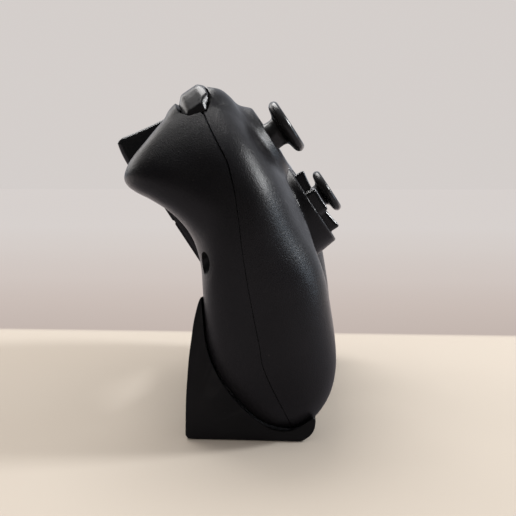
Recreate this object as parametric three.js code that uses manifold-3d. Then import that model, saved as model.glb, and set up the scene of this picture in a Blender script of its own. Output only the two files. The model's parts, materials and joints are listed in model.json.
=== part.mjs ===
// Wireless two-handed gamepad resting in a one-piece wedge stand.
// Millimetres, +Z up, +X the gamepad's right side, -Y its face side.
// Pad frame used below: x sideways, t along the face towards the bumpers,
// n along the face normal; it leans back by LEAN in the stand.
import * as THREE from 'three';
import { mergeVertices } from 'three/addons/utils/BufferGeometryUtils.js';
import Module from 'manifold-3d';

const wasm = await Module();
wasm.setup();
const { Manifold, Mesh: SolidMesh } = wasm;

// ---- driving dimensions -------------------------------------------------
const LEAN = 33.4;            // degrees the face leans back from upright
const FACE_Z = 93.4;          // height of the left stick's ring centre
const STAND_HALF = 60;        // half width of the stand
const WALL = 2.2;             // shell wall
const SEAM = 0.3;             // gap between the two shell halves
const T_LOW = -80.9, T_TOP = 24.4;   // grip tip and top edge along t
const X_OUT = 77;             // widest half width
const LEFT_STICK = [-41, 0.4];
const RIGHT_STICK = [22, -25.2];
const DPAD = [-22, -25.2];
const KEYS = [41, 0.4];       // centre of the four face keys
const KEY_PITCH = 9.3;        // face key offset from that centre
const KEY_R = 4.9;
const STICK_PIVOT_N = -10;
const STEM_R = 4.6, CAP_R = 9.1;
const BOSS_R = 14.8;          // ring under the right stick and the cross pad
const BOSS_N = -0.8;
const TRIG_HINGE = [17.5, -15];      // (t, n)
const TRIG_R = 27.6;
const TRIG_X = [27, 48.6];
const BUMPER_X = [20.9, 63.2];
const PCB_N = [-17.6, -16];
const COVER_N = -43.5;        // rear face of the battery cover
const CELL_R = 7.1, CELL_L = 49.5;

// ---- small helpers ------------------------------------------------------
const deg = Math.PI / 180;
function solid(geometry) {
  const g = geometry.index ? geometry.clone() : geometry.clone();
  for (const k of Object.keys(g.attributes)) if (k !== 'position') g.deleteAttribute(k);
  const m = mergeVertices(g, 1e-4);
  const p = Float32Array.from(m.getAttribute('position').array);
  const src = m.index.array, tri = [];
  for (let i = 0; i < src.length; i += 3) {
    const [a, b, c] = [src[i], src[i + 1], src[i + 2]];
    if (a !== b && b !== c && a !== c) tri.push(a, b, c);
  }
  let s = new Manifold(new SolidMesh({ numProp: 3, vertProperties: p, triVerts: Uint32Array.from(tri) }));
  if (s.volume() < 0) {
    for (let i = 0; i < tri.length; i += 3) { const k = tri[i]; tri[i] = tri[i + 1]; tri[i + 1] = k; }
    s = new Manifold(new SolidMesh({ numProp: 3, vertProperties: p, triVerts: Uint32Array.from(tri) }));
  }
  return s;
}
function surface(s) {
  const m = s.getMesh();
  const g = new THREE.BufferGeometry();
  g.setAttribute('position', new THREE.BufferAttribute(Float32Array.from(m.vertProperties), 3));
  g.setIndex(new THREE.BufferAttribute(Uint32Array.from(m.triVerts), 1));
  return g;
}
const all = (...parts) => parts.flat(Infinity).reduce((a, b) => a.add(b));
const cut = (a, ...tools) => tools.flat(Infinity).reduce((x, y) => x.subtract(y), a);
function boxXTN(x0, x1, t0, t1, n0, n1) {
  return solid(new THREE.BoxGeometry(x1 - x0, t1 - t0, n1 - n0).translate((x0 + x1) / 2, (t0 + t1) / 2, (n0 + n1) / 2));
}
function rodN(x, t, n0, n1, r0, r1 = r0, seg = 24) {      // round bar along n, r0 at n0, r1 at n1
  return solid(new THREE.CylinderGeometry(r1, r0, n1 - n0, seg).rotateX(Math.PI / 2).translate(x, t, (n0 + n1) / 2));
}
function rodX(x0, x1, t, n, r, seg = 20) {
  return solid(new THREE.CylinderGeometry(r, r, x1 - x0, seg).rotateZ(Math.PI / 2).translate((x0 + x1) / 2, t, n));
}
function rodT(x, t0, t1, n, r, seg = 20) {
  return solid(new THREE.CylinderGeometry(r, r, t1 - t0, seg).translate(x, (t0 + t1) / 2, n));
}
function turnN(x, t, profile, seg = 28) {                 // profile of (radius, n) pairs
  return solid(new THREE.LatheGeometry(profile.map(([r, n]) => new THREE.Vector2(r, n)), seg).rotateX(Math.PI / 2).translate(x, t, 0));
}
const cyclic = new THREE.Matrix4().set(0, 0, 1, 0, 1, 0, 0, 0, 0, 1, 0, 0, 0, 0, 0, 1);
function slabX(points, x0, x1) {                          // (t, n) outline carried along x
  const shape = new THREE.Shape(points.map(([a, b]) => new THREE.Vector2(a, b)));
  return solid(new THREE.ExtrudeGeometry(shape, { depth: x1 - x0, bevelEnabled: false }).applyMatrix4(cyclic).translate(x0, 0, 0));
}
function slabN(points, n0, n1) {                          // (x, t) outline carried along n
  const shape = new THREE.Shape(points.map(([a, b]) => new THREE.Vector2(a, b)));
  return solid(new THREE.ExtrudeGeometry(shape, { depth: n1 - n0, bevelEnabled: false }).translate(0, 0, n0));
}
function flipX(s) {                                       // the same piece on the other side
  const m = s.getMesh();
  const p = Float32Array.from(m.vertProperties), tri = Uint32Array.from(m.triVerts);
  for (let i = 0; i < p.length; i += 3) p[i] = -p[i];
  for (let i = 0; i < tri.length; i += 3) { const k = tri[i]; tri[i] = tri[i + 1]; tri[i + 1] = k; }
  return new Manifold(new SolidMesh({ numProp: 3, vertProperties: p, triVerts: tri }));
}
function skin(rings, close0, close1) {                    // closed skin over equal rings of [x,t,n]
  const M = rings[0].length, pos = [], idx = [];
  rings.forEach(r => r.forEach(v => pos.push(...v)));
  for (let i = 0; i + 1 < rings.length; i++) for (let j = 0; j < M; j++) {
    const a = i * M + j, b = i * M + (j + 1) % M, c = a + M, d = b + M;
    idx.push(a, c, b, b, c, d);
  }
  const cap = (ring, tip, flip) => {
    const k = pos.length / 3; pos.push(...tip);
    for (let j = 0; j < M; j++) { const a = ring * M + j, b = ring * M + (j + 1) % M; flip ? idx.push(a, k, b) : idx.push(a, b, k); }
  };
  const mid = r => r.reduce((s, v) => [s[0] + v[0] / M, s[1] + v[1] / M, s[2] + v[2] / M], [0, 0, 0]);
  cap(0, close0 || mid(rings[0]), false);
  cap(rings.length - 1, close1 || mid(rings[rings.length - 1]), true);
  const g = new THREE.BufferGeometry();
  g.setAttribute('position', new THREE.BufferAttribute(Float32Array.from(pos), 3));
  g.setIndex(idx);
  return solid(g);
}

// ---- the shape of the gamepad body --------------------------------------
const W = t => Math.acos(Math.max(-1, Math.min(1, (2 * t - (T_TOP + T_LOW)) / (T_TOP - T_LOW))));
function curve(knots) {
  const p = knots.map(([t, v]) => [W(t), v]).sort((a, b) => a[0] - b[0]);
  const n = p.length, m = [];
  for (let i = 0; i < n; i++) {
    if (i === 0) m.push((p[1][1] - p[0][1]) / (p[1][0] - p[0][0]));
    else if (i === n - 1) m.push((p[i][1] - p[i - 1][1]) / (p[i][0] - p[i - 1][0]));
    else {
      const h0 = p[i][0] - p[i - 1][0], h1 = p[i + 1][0] - p[i][0];
      m.push((((p[i][1] - p[i - 1][1]) / h0) * h1 + ((p[i + 1][1] - p[i][1]) / h1) * h0) / (h0 + h1));
    }
  }
  return t => {
    const w = W(t);
    let i = 0; while (i < n - 2 && w > p[i + 1][0]) i++;
    const h = p[i + 1][0] - p[i][0], s = Math.max(0, Math.min(1, (w - p[i][0]) / h));
    const s2 = s * s, s3 = s2 * s;
    return (2 * s3 - 3 * s2 + 1) * p[i][1] + (s3 - 2 * s2 + s) * h * m[i] + (-2 * s3 + 3 * s2) * p[i + 1][1] + (s3 - s2) * h * m[i + 1];
  };
}
// front and rear outline of the grip seen from the side, as (t, n)
const gripFront = curve([[24.4, -12.5], [23.3, -7.8], [22, -6.3], [20.8, -5], [18.8, -4.3], [14, -3.9], [5, -3.5], [-5, -3.2], [-13, -3.3], [-17.2, -3.8], [-26.7, -5.6], [-37.4, -7.5], [-44.8, -9.4], [-54.4, -13], [-64.1, -17.6], [-71, -21.9], [-76.9, -27.9], [-79.8, -33.6], [-80.9, -39.8]]);
const gripRear = curve([[24.4, -12.5], [24, -15.4], [23, -18.8], [21.9, -24.4], [20.7, -29.3], [18.7, -35.7], [17.1, -40.6], [15, -43.9], [13, -45.2], [10.7, -45], [8.6, -44.1], [3.5, -41], [-2.3, -38.4], [-10, -37.5], [-16.7, -38.2], [-22.1, -39.8], [-28.7, -43.4], [-34, -46.6], [-43.7, -51.8], [-52.6, -53.6], [-62.6, -53.2], [-73, -50.4], [-78.6, -45.6], [-80.9, -39.8]]);
// outer and inner side of the grip seen on its face, as (t, x)
const gripOuter = curve([[24.4, 50], [24, 54], [22.3, 58], [19, 62.5], [15.5, 66], [10.5, 69.8], [4.5, 73], [-1, 74.8], [-8, 76.2], [-18, 77], [-33, 76], [-45, 74.3], [-57, 71.6], [-66, 68.4], [-73, 64.6], [-77.6, 60.4], [-80, 57], [-80.9, 54]]);
const gripInner = curve([[24.4, 24], [15, 20.5], [5, 19], [-10, 20], [-25, 22], [-33, 23.8], [-38.5, 26], [-43, 28.5], [-50, 31.5], [-58, 34.5], [-66, 38], [-73, 42], [-77.6, 46.5], [-80, 50.5], [-80.9, 54]]);
const swell = (t, at, wide) => Math.exp(-(((t - at) / wide) ** 2));
const lerp = (a, b, k) => a + (b - a) * Math.max(0, Math.min(1, k));
function grip(ax, t, n, w) {
  const mid = (T_LOW + T_TOP) / 2, half = (T_TOP - T_LOW) / 2;
  const s = mid + (t - mid) * half / (half - w);
  const over = Math.max(0, T_LOW - s, s - T_TOP);
  const o = gripOuter(s), i = gripInner(s), side = ax - (o + i) / 2;
  const f = gripFront(s) + swell(s, -46, 13) * (0.24 * side - 0.5);   // the front of the grip is fuller towards its outer side
  const r = gripRear(s) + swell(s, -13, 9) * 0.11 * side;              // and the rear falls away towards it beside the battery
  const a = Math.max(0.05, (o - i) / 2 - w), b = Math.max(0.05, (f - r) / 2 - w);
  const p = lerp(2.1, 3.1, (s + 45) / 45);
  const q = Math.pow(Math.pow(Math.abs(ax - (o + i) / 2) / a, p) + Math.pow(Math.abs(n - (f + r) / 2) / b, p), 1 / p);
  const d = (q - 1) * Math.min(a, b);
  return over > 0 ? Math.hypot(over, Math.max(0, d)) : d;
}
function block(x, t, n, c, h, r) {
  const q = [Math.abs(x - c[0]) - h[0] + r, Math.abs(t - c[1]) - h[1] + r, Math.abs(n - c[2]) - h[2] + r];
  return Math.hypot(Math.max(q[0], 0), Math.max(q[1], 0), Math.max(q[2], 0)) + Math.min(Math.max(...q), 0) - r;
}
function blend(a, b, k) { const h = Math.max(k - Math.abs(a - b), 0) / k; return Math.min(a, b) - h * h * k / 4; }
// front face of the middle, as (t, n)
const faceLine = curve([[24.4, -3.9], [14, -3.9], [4, -3.8], [-8, -3.8], [-17.2, -4.5], [-26.7, -6.2], [-37.4, -8.5], [-44.8, -10.6], [-60, -15.5], [-80.9, -22]]);
function body(x, t, n, w) {
  const ax = Math.abs(x), face = faceLine(t);
  const centre = block(ax, t, n, [0, -7, (face - 27.1) / 2], [62 - w, 31 - w, (face + 27.1) / 2 - w], 9 - Math.max(0, w));
  const bay = block(ax, t, n, [0, -14.5, -32], [32.5 - w, 18.5 - w, 11.5 - w], 4 - Math.min(2.2, Math.max(0, w)));
  const k = Math.max(0, Math.min(1, (-12 - t) / 22));
  return blend(blend(centre, grip(ax, t, n, w), 1.6 + 2.9 * k * k * (3 - 2 * k)), bay, 1.3);
}
function inside(x, t, w) {             // deepest point along n at (x, t)
  let best = 1e9, at = 0;
  for (let n = 3; n > -58; n -= 1.5) { const f = body(x, t, n, w); if (f < best) { best = f; at = n; } }
  for (let s = 0.75; s > 0.01; s *= 0.6) for (const n of [at - s, at + s]) { const f = body(x, t, n, w); if (f < best) { best = f; at = n; } }
  return [best, at];
}
function edge(f, from, dir) {
  let a = 0, b = 1.2;
  while (f(from + dir * b) < 0 && b < 200) { a = b; b += 1.2; }
  for (let i = 0; i < 22; i++) { const m = (a + b) / 2; f(from + dir * m) < 0 ? a = m : b = m; }
  return from + dir * (a + b) / 2;
}
function slice(x, w) {                 // extent along t of the section at x
  let seed = null, best = 0;
  for (let t = 22; t > -80; t -= 2) { const [v] = inside(x, t, w); if (v < best) { best = v; seed = t; } }
  if (seed === null) return null;
  // walk outwards from the seed in both directions
  const hi = edge(t => inside(x, t, w)[0], seed, 1), lo = edge(t => inside(x, t, w)[0], seed, -1);
  return [lo, hi];
}
function bodySolid(w, stations, steps) {
  const xm = X_OUT - w, rings = [];
  for (let i = 1; i < stations; i++) {
    const x = xm * Math.sin(Math.PI / 2 * (i / stations));
    const s = slice(x, w); if (!s) continue;
    rings.push(ring(x, s, w, steps));
  }
  const zero = ring(0, slice(0, w), w, steps);
  const tipN = (gripFront(-18) + gripRear(-18)) / 2;
  const left = rings.map(r => r.map(([x, t, n]) => [-x, t, n])).reverse();
  return skin([...left, zero, ...rings], [-xm, -18, tipN], [xm, -18, tipN]);
}
function ring(x, [lo, hi], w, steps) {
  const front = [], rear = [];
  for (let j = 0; j <= steps; j++) {
    const c = Math.cos(Math.PI * j / steps);
    const t = (lo + hi) / 2 + (hi - lo) / 2 * (0.62 * c + 0.38 * (1 - 2 * j / steps)) * (j === 0 || j === steps ? 0.9999 : 1);
    const [, at] = inside(x, t, w);
    if (j === 0 || j === steps) { front.push([x, t, at]); continue; }
    front.push([x, t, edge(n => body(x, t, n, w), at, 1)]);
    rear.push([x, t, edge(n => body(x, t, n, w), at, -1)]);
  }
  return [...front, ...rear.reverse()];
}
const outer = bodySolid(0, 21, 15);
const hollow = bodySolid(WALL, 14, 11);

// parting line of the two shell halves, as (t, n) on the sides
const PART = [[40, -11.6], [18.1, -12.2], [9.7, -12.8], [2.9, -13.2], [-0.4, -13.4], [-3.3, -14.1], [-6.6, -15.2], [-10.1, -16.5], [-17.7, -20.1], [-25.2, -23.9], [-36.3, -29], [-49.9, -34.9], [-56.9, -38], [-72.6, -41.2], [-78.7, -42.8], [-95, -46]];
const CENTRE_PART = -13.4;
function partAt(x, t) {
  let i = 0; while (i < PART.length - 2 && t < PART[i + 1][0]) i++;
  const [a, b] = [PART[i], PART[i + 1]];
  const s = a[1] + (b[1] - a[1]) * (t - a[0]) / (b[0] - a[0]);
  return lerp(CENTRE_PART, s, (Math.abs(x) - 25) / 11);
}
function halfSpace(far, gap) {         // everything between the parting surface and n = far
  const xs = [-90, -36, -31, -25, 25, 31, 36, 90];
  const rings = xs.map(x => [...PART.map(([t]) => [x, t, partAt(x, t) + gap]), [x, -95, far], [x, 40, far]]);
  return skin(rings, null, null);
}
const frontSide = halfSpace(45, SEAM / 2), rearSide = halfSpace(-75, -SEAM / 2);

// ---- strip along the top edge for the bumpers and the bridge between ----
function topEdge(x) { return slice(Math.abs(x), 0)[1]; }
const edgeAt = new Map();
for (let x = 0; x <= 66; x += 3) edgeAt.set(x, topEdge(x));
function edgeLine(x) {
  const a = Math.abs(x), i = Math.min(63, Math.floor(a / 3) * 3);
  return edgeAt.get(i) + (edgeAt.get(i + 3) - edgeAt.get(i)) * (a - i) / 3;
}
function strip(x0, x1, out, under, n0, n1, c) {
  const xs = [x0]; for (let x = Math.ceil((x0 + 0.5) / 3) * 3; x < x1 - 0.5; x += 3) xs.push(x); xs.push(x1);
  return skin(xs.map(x => {
    const e = edgeLine(x);
    return [[x, e + out - c, n1], [x, e + out, n1 - c], [x, e + out, n0 + c * 0.8], [x, e + out - c * 0.9, n0], [x, e - under, n0], [x, e - under, n1]];
  }), null, null);
}
const bumperRight = cut(strip(BUMPER_X[0], BUMPER_X[1], 0.8, 2, -18.6, -8.9, 1.9),
  slabN([[58.6, 30], [70, 30], [70, 10], [61.8, 10]], -25, 0));
const bridge = strip(-20.3, 20.3, 0.2, 2.2, -18.6, -8.9, 1.6);
const stripSlot = all(strip(-64, 64, 4, 4.6, -18.95, -8.55, 0.3));

// ---- stick openings, key openings and wells ------------------------------
function stickWell(x, t, top) {
  return [rodN(x, t, -4, top + 3, 8.6, 8.6, 26), turnN(x, t, [[0, -20], [10.8, -20], [10.8, -10.2], [10.4, -7.7], [9.2, -4.9], [7.2, -2.4], [0, -2.4]], 26)];
}
const crossPts = (cx, ct, l, w) => [[w, l], [w, w], [l, w], [l, -w], [w, -w], [w, -l], [-w, -l], [-w, -w], [-l, -w], [-l, w], [-w, w], [-w, l]].map(([a, b]) => [cx + a, ct + b]);
const keyAt = [[0, -1], [1, 0], [-1, 0], [0, 1]].map(([a, b]) => [KEYS[0] + a * KEY_PITCH, KEYS[1] + b * KEY_PITCH]);
const screwAt = [[-69, -21.5], [69, -21.5], [-54, -66], [54, -66]];

// trigger outline (t, n) and the space it swings through
function trigOutline(grow) {
  const [ht, hn] = TRIG_HINGE, r = TRIG_R + grow, pts = [];
  const at = (R, a) => [ht + R * Math.sin(a * deg), hn - R * Math.cos(a * deg)];
  pts.push([22.6 + grow, -18.9 - (grow ? 0 : 0.3)], [23.0 + grow, -22], [23.5 + grow, -26.5], [24.2 + grow, -30.7], [24.9 + grow, -35.3], [25.8 + grow, -39.4]);
  for (const a of [17.5, 13, 8, 3, -2, -6]) pts.push(at(r, a));
  pts.push(at(r - 6.5, -6 - (grow ? 2 : 0)), [ht - 3.4 - grow, hn - 8], [ht - 2.9 - grow, hn]);
  for (const a of [230, 200, 180, 150]) pts.push(at(2.9 + grow, a));
  return pts;
}
function trigSweep() {
  const [ht, hn] = TRIG_HINGE, R = TRIG_R + 0.5, pts = [];
  const at = (q, a) => [ht + q * Math.sin(a * deg), hn - q * Math.cos(a * deg)];
  pts.push([40, -19.2], [40, -39]);
  for (const a of [18.5, 13, 8, 3, -2, -7, -12, -17, -22, -26.5]) pts.push(at(R, a));
  pts.push(at(10, -40), [ht - 6, hn - 2], [ht - 4, hn + 3.4], [ht + 3, hn + 3.4], [ht + 4.2, -18.9]);
  return pts;
}
const trigBay = slabX(trigSweep(), TRIG_X[0] - 0.6, TRIG_X[1] + 0.6);

// ---- shells ---------------------------------------------------------------
const leftBoss = rodN(LEFT_STICK[0], LEFT_STICK[1], -6.5, 0, 17.2, 10.8, 30);
const dpadBoss = rodN(DPAD[0], DPAD[1], -13.2, BOSS_N, BOSS_R + 1.5, BOSS_R, 30);
const rightBoss = rodN(RIGHT_STICK[0], RIGHT_STICK[1], -13.2, BOSS_N, BOSS_R + 1.5, BOSS_R, 30);
let front = cut(all(outer, leftBoss, dpadBoss, rightBoss), hollow);
front = cut(front,
  rodN(LEFT_STICK[0], LEFT_STICK[1], -11, -6.4, 10.8, 10.8, 26),
  rodN(DPAD[0], DPAD[1], -14, BOSS_N - 2.2, 12.3, 12.3, 26),
  rodN(RIGHT_STICK[0], RIGHT_STICK[1], -14, -4, 12.3, 12.3, 26),
  stickWell(LEFT_STICK[0], LEFT_STICK[1], 0), stickWell(RIGHT_STICK[0], RIGHT_STICK[1], BOSS_N));
front = all(front, screwAt.map(([x, t]) => rodN(x, t, t < -50 ? -36.5 : -21.4, gripFront(t) + 1, 3.4, 3.6, 14).intersect(outer)));
front = front.intersect(frontSide);
front = cut(front, screwAt.map(([x, t]) => rodN(x, t, -60, gripFront(t) - (t > -50 ? 6.4 : 3.6), 1.6, 1.6, 12)),
  stripSlot,
  slabN(crossPts(DPAD[0], DPAD[1], 12.4, 5.1), -6, 3),
  keyAt.map(([x, t]) => rodN(x, t, -12, 2, KEY_R + 0.45, KEY_R + 0.45, 20)),
  rodN(-13.5, 1.5, -12, 2, 3.5, 3.5, 20), rodN(13.5, 1.5, -12, 2, 3.5, 3.5, 20),
  rodN(0, 6.5, -12, 2, 8.5, 8.5, 24),
  boxXTN(-4.2, 4.2, -45, -28.9, -14, -9));

let rear = cut(outer, hollow);
rear = all(rear,
  screwAt.map(([x, t]) => rodN(x, t, gripRear(t) - 3, t < -50 ? -36.9 : -21.9, 4.6, 4.6, 16).intersect(outer)),
  [[24.9, 26.35], [49.25, 50.7]].map(([a, b]) => {                    // side walls of each trigger bay, which carry the pin
    const w = slabX([[12.3, -14], [30, -14], [30, -52], [-2, -52], [-2, -18.4], [12.3, -18.4]], a, b).intersect(outer);
    return [w, flipX(w)];
  }),
  boxXTN(-32.4, 32.4, -33.2, 4.1, -45, -24.2).intersect(outer));      // tray of the battery bay
rear = rear.intersect(rearSide);
rear = cut(rear,
  screwAt.map(([x, t]) => [rodN(x, t, -62, t < -50 ? -41 : -26, 3.1, 3.1, 18), rodN(x, t, -62, -20, 1.6, 1.6, 12)]),
  boxXTN(-29.6, 29.6, -30, 1.4, -60, -26),                            // battery bay
  boxXTN(-31.1, 31.1, -32.2, 3.2, -60, -41.2),                        // seat of the cover
  rodX(-50.4, -25.2, TRIG_HINGE[0], TRIG_HINGE[1], 1.15, 14), rodX(25.2, 50.4, TRIG_HINGE[0], TRIG_HINGE[1], 1.15, 14),
  stripSlot, trigBay, flipX(trigBay));

// ---- output ---------------------------------------------------------------
const S = Math.sin(LEAN * deg), C = Math.cos(LEAN * deg);
const toWorld = new THREE.Matrix4().set(1, 0, 0, 0, 0, S, -C, 0, 0, C, S, FACE_Z, 0, 0, 0, 1);
const paint = {
  shell: [0x1a1b1d, 0.52, 0], stand: [0x151517, 0.62, 0], gloss: [0x0c0c0d, 0.16, 0], cap: [0x121213, 0.45, 0],
  steel: [0xb9bcc0, 0.32, 1], brass: [0xc9a24a, 0.35, 1], rubber: [0x1b1b1b, 0.9, 0], silicone: [0x8f979c, 0.7, 0],
  board: [0x1f5a36, 0.5, 0], pom: [0xd9d8d0, 0.45, 0], cell: [0x2a3d6b, 0.35, 0], can: [0xa6a9ad, 0.3, 1], weight: [0x8a8d90, 0.4, 1],
};
const root = new THREE.Group();
root.name = 'gamepad_on_stand';
function place(name, s, tone, world = false) {
  const parts = s.decompose().sort((a, b) => b.volume() - a.volume());
  const g = surface(parts[0]);
  if (!world) g.applyMatrix4(toWorld);
  g.computeVertexNormals();
  const [c, r, m] = paint[tone];
  const mesh = new THREE.Mesh(g, new THREE.MeshStandardMaterial({ color: c, roughness: r, metalness: m, name: tone }));
  mesh.name = name;
  if (parts.length > 1) mesh.userData.lost = parts.slice(1).map(q => q.volume().toFixed(2)).join(' ');
  root.add(mesh);
  return mesh;
}

// stand: side outline as (depth behind the ring centre, height)
const worldBody = (() => {
  const g = surface(all(bodySolid(-0.75, 21, 15))); g.applyMatrix4(toWorld); return solid(g);
})();
const standPts = [[24.6, 0.5], [25.6, 1.7], [25.4, 11.5], [24.9, 19.1], [24.3, 26], [23.5, 31.7], [22.8, 36.6], [21.8, 41], [20.9, 43.8], [19.6, 45.6], [18.9, 45.3], [18.7, 40], [18.3, 33.5], [17.6, 28.3], [15.6, 22.1], [11.4, 14.7], [7.2, 10.4], [1.2, 5.2], [-3.4, 3.5], [-8.1, 4.0], [-13.9, 7.9], [-14.6, 7.2], [-14.5, 5], [-13.9, 3.2], [-12.6, 1.6], [-10.8, 0.7], [-9.4, 0.5]];
let stand = slabX(standPts, -STAND_HALF, STAND_HALF);
stand = cut(stand, worldBody, boxXTN(-33.6, 33.6, -40, 60, 21, 80));
const feet = [[-50, 19.5], [50, 19.5], [-50, -7.5], [50, -7.5]];
stand = cut(stand, feet.map(([x, y]) => rodN(x, y, -1, 1.25, 4.3, 4.3, 20)));
place('stand_cradle', stand, 'stand', true);
feet.forEach(([x, y], i) => place('stand_foot_' + (i + 1), rodN(x, y, 0, 1.0, 4, 4, 20), 'rubber', true));

place('front_shell', front, 'shell');
place('rear_shell', rear, 'shell');

// centre bridge with its connector opening and pairing key
const bridgeCut = cut(bridge, rodT(11, 15, 30, -13.8, 2.4, 16), boxXTN(-4.3, 4.3, 15, 30, -16.1, -11.5));
place('top_bridge', bridgeCut, 'gloss');
place('sync_button', all(rodT(11, edgeLine(11) - 3.4, edgeLine(11) + 0.6, -13.8, 2.0, 14), rodT(11, edgeLine(11) - 3.8, edgeLine(11) - 2.6, -13.8, 3.0, 14)), 'gloss');
place('charge_port', cut(boxXTN(-3.9, 3.9, 16, 24, -15.8, -11.8), boxXTN(-3.3, 3.3, 17, 25, -15.2, -12.4)), 'steel');

place('expansion_port', cut(all(boxXTN(-3.9, 3.9, -36.9, -29.5, -13.1, -9.3), boxXTN(-3.9, 3.9, -33.9, -29.5, PCB_N[1] + 0.1, -12.5)), boxXTN(-3.2, 3.2, -38, -31, -12.5, -9.9)), 'rubber');

place('right_bumper', bumperRight, 'gloss');
place('left_bumper', flipX(bumperRight), 'gloss');

// triggers, pins and return springs
const trig = cut(slabX(trigOutline(0), TRIG_X[0], TRIG_X[1]), rodX(20, 60, TRIG_HINGE[0], TRIG_HINGE[1], 1.4, 16),
  boxXTN(TRIG_X[0] + 2, TRIG_X[1] - 2, 5, 21, -39, -19.5).intersect(slabX([[21, -19.5], [20.6, -24], [22, -36.5], [12.4, -39.2], [11.6, -34], [13.2, -19.5]], 0, 80)));
place('right_trigger', trig, 'gloss');
place('left_trigger', flipX(trig), 'gloss');
const pin = rodX(25.4, 50.2, TRIG_HINGE[0], TRIG_HINGE[1], 1.0, 14);
place('right_trigger_pin', pin, 'steel');
place('left_trigger_pin', flipX(pin), 'steel');

// circuit board and everything on it
const board = [[-24, 19.5], [24, 19.5], [24, 12], [26, 11], [60, 11], [64, 4], [66, -8], [64, -14], [40, -14], [37, -18], [36, -34.5], [-36, -34.5], [-37, -18], [-40, -14], [-64, -14], [-66, -8], [-64, 4], [-60, 11], [-26, 11], [-24, 12]];
place('main_board', slabN(board, PCB_N[0], PCB_N[1]), 'board');
function stick(side, [x, t], top) {
  const P = STICK_PIVOT_N, b = PCB_N[1] + 0.1;
  const c = (s) => s.translate([x, t, 0]);
  const box = (x0, x1, t0, t1, n0, n1) => boxXTN(x + x0, x + x1, t + t0, t + t1, n0, n1);
  let house = cut(box(-7, 7, -7, 7, b, P + 0.6), box(-6, 6, -6, 6, b + 1, P + 5), box(-8, 8, -1.3, 1.3, P - 1.3, P + 5), box(-1.3, 1.3, -8, 8, P - 1.3, P + 5));
  place(side + '_stick_housing', house, 'can');
  place(side + '_stick_sensor_x', box(7.4, 10.2, -4.6, 4.6, b, P - 1.7), 'rubber');
  place(side + '_stick_sensor_y', box(-4.6, 4.6, 7.4, 10.2, b, P - 1.7), 'rubber');
  // lower yoke swings about x, upper yoke about t
  let lower = all(rodX(x - 6.7, x + 6.7, t, P, 1.0, 12), box(-5.4, 5.4, -2.2, 2.2, P - 1.0, P + 2.2));
  lower = cut(lower, box(-3.4, 3.4, -1.35, 1.35, P - 3, P + 4));
  place(side + '_stick_yoke_lower', lower, 'pom');
  let upper = all(box(-2.2, 2.2, -5.6, 5.6, P + 3.1, P + 4.4), box(-2.2, 2.2, 4.6, 5.8, P - 1, P + 4.4), box(-2.2, 2.2, -5.8, -4.6, P - 1, P + 4.4), rodT(x, t + 4.8, t + 6.7, P, 1.0, 12), rodT(x, t - 6.7, t - 4.8, P, 1.0, 12));
  upper = cut(upper, box(-1.35, 1.35, -4.2, 4.2, P + 2.5, P + 6));
  place(side + '_stick_yoke_upper', upper, 'pom');
  place(side + '_stick_shaft', all(rodN(x, t, P - 1.6, P + 6.2, 1.0, 1.0, 12), turnN(x, t, [[0, P + 6.0], [1.4, P + 6.0], [1.4, P + 8.7], [0, P + 8.7]], 12)), 'pom');
  // cap: skirt, stem, head in one piece
  const cap = turnN(x, t, [[0, P + 9.3], [1.75, P + 9.3], [1.75, P + 6.6], [3.2, P + 8.0], [5.6, P + 6.9], [8.1, P + 4.0], [9.1, P + 4.05], [7.2, P + 6.9], [4.7, P + 8.9], [4.5, P + 13.3], [7.9, P + 14.4], [9.1, P + 15.6], [8.6, P + 17.2], [7.4, P + 17.5], [5.4, P + 17.0], [0, P + 16.7]], 22);
  place(side + '_stick_cap', cap, 'cap');
}
stick('left', LEFT_STICK, 0);
stick('right', RIGHT_STICK, BOSS_N);

// face keys over one silicone pad
const padTop = PCB_N[1] + 1.0;
function dome(x, t, r, h) { return turnN(x, t, [[0, padTop - 0.2], [r, padTop - 0.2], [r * 0.6, padTop + h], [0, padTop + h]], 12); }
place('face_key_pad', all(boxXTN(KEYS[0] - 15, KEYS[0] + 15, -13.5, 14.3 - 3.6, PCB_N[1] + 0.1, padTop), keyAt.map(([x, t]) => dome(x, Math.min(t, 6.6 + 0), 3.6, 2.6))), 'silicone');
['south', 'east', 'west', 'north'].forEach((nm, i) => {
  const [x, t] = keyAt[i];
  place('key_' + nm, turnN(x, t, [[0, -9.6], [KEY_R + 1, -9.6], [KEY_R + 1, -8.5], [KEY_R, -8.5], [KEY_R, -2.6], [KEY_R - 0.6, -1.6], [0, -1.0]], 20), 'gloss');
});
// small centre keys
place('back_button', turnN(-13.5, 1.5, [[0, -9], [4.2, -9], [4.2, -8], [3.1, -8], [3.1, -3.1], [2.7, -2.6], [0, -2.5]], 20), 'gloss');
place('start_button', turnN(13.5, 1.5, [[0, -9], [4.2, -9], [4.2, -8], [3.1, -8], [3.1, -3.1], [2.7, -2.6], [0, -2.5]], 20), 'gloss');
place('guide_button', turnN(0, 6.5, [[0, -9.4], [9, -9.4], [9, -8.3], [8.1, -8.3], [8.1, -3.4], [7.4, -2.7], [0, -1.9]], 24), 'gloss');
place('menu_key_pad', all(boxXTN(-18.5, 18.5, -3.5, 14, PCB_N[1] + 0.1, padTop), dome(-13.5, 1.5, 3, 3.2), dome(13.5, 1.5, 3, 3.2), dome(0, 6.5, 4.5, 3)), 'silicone');

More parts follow.
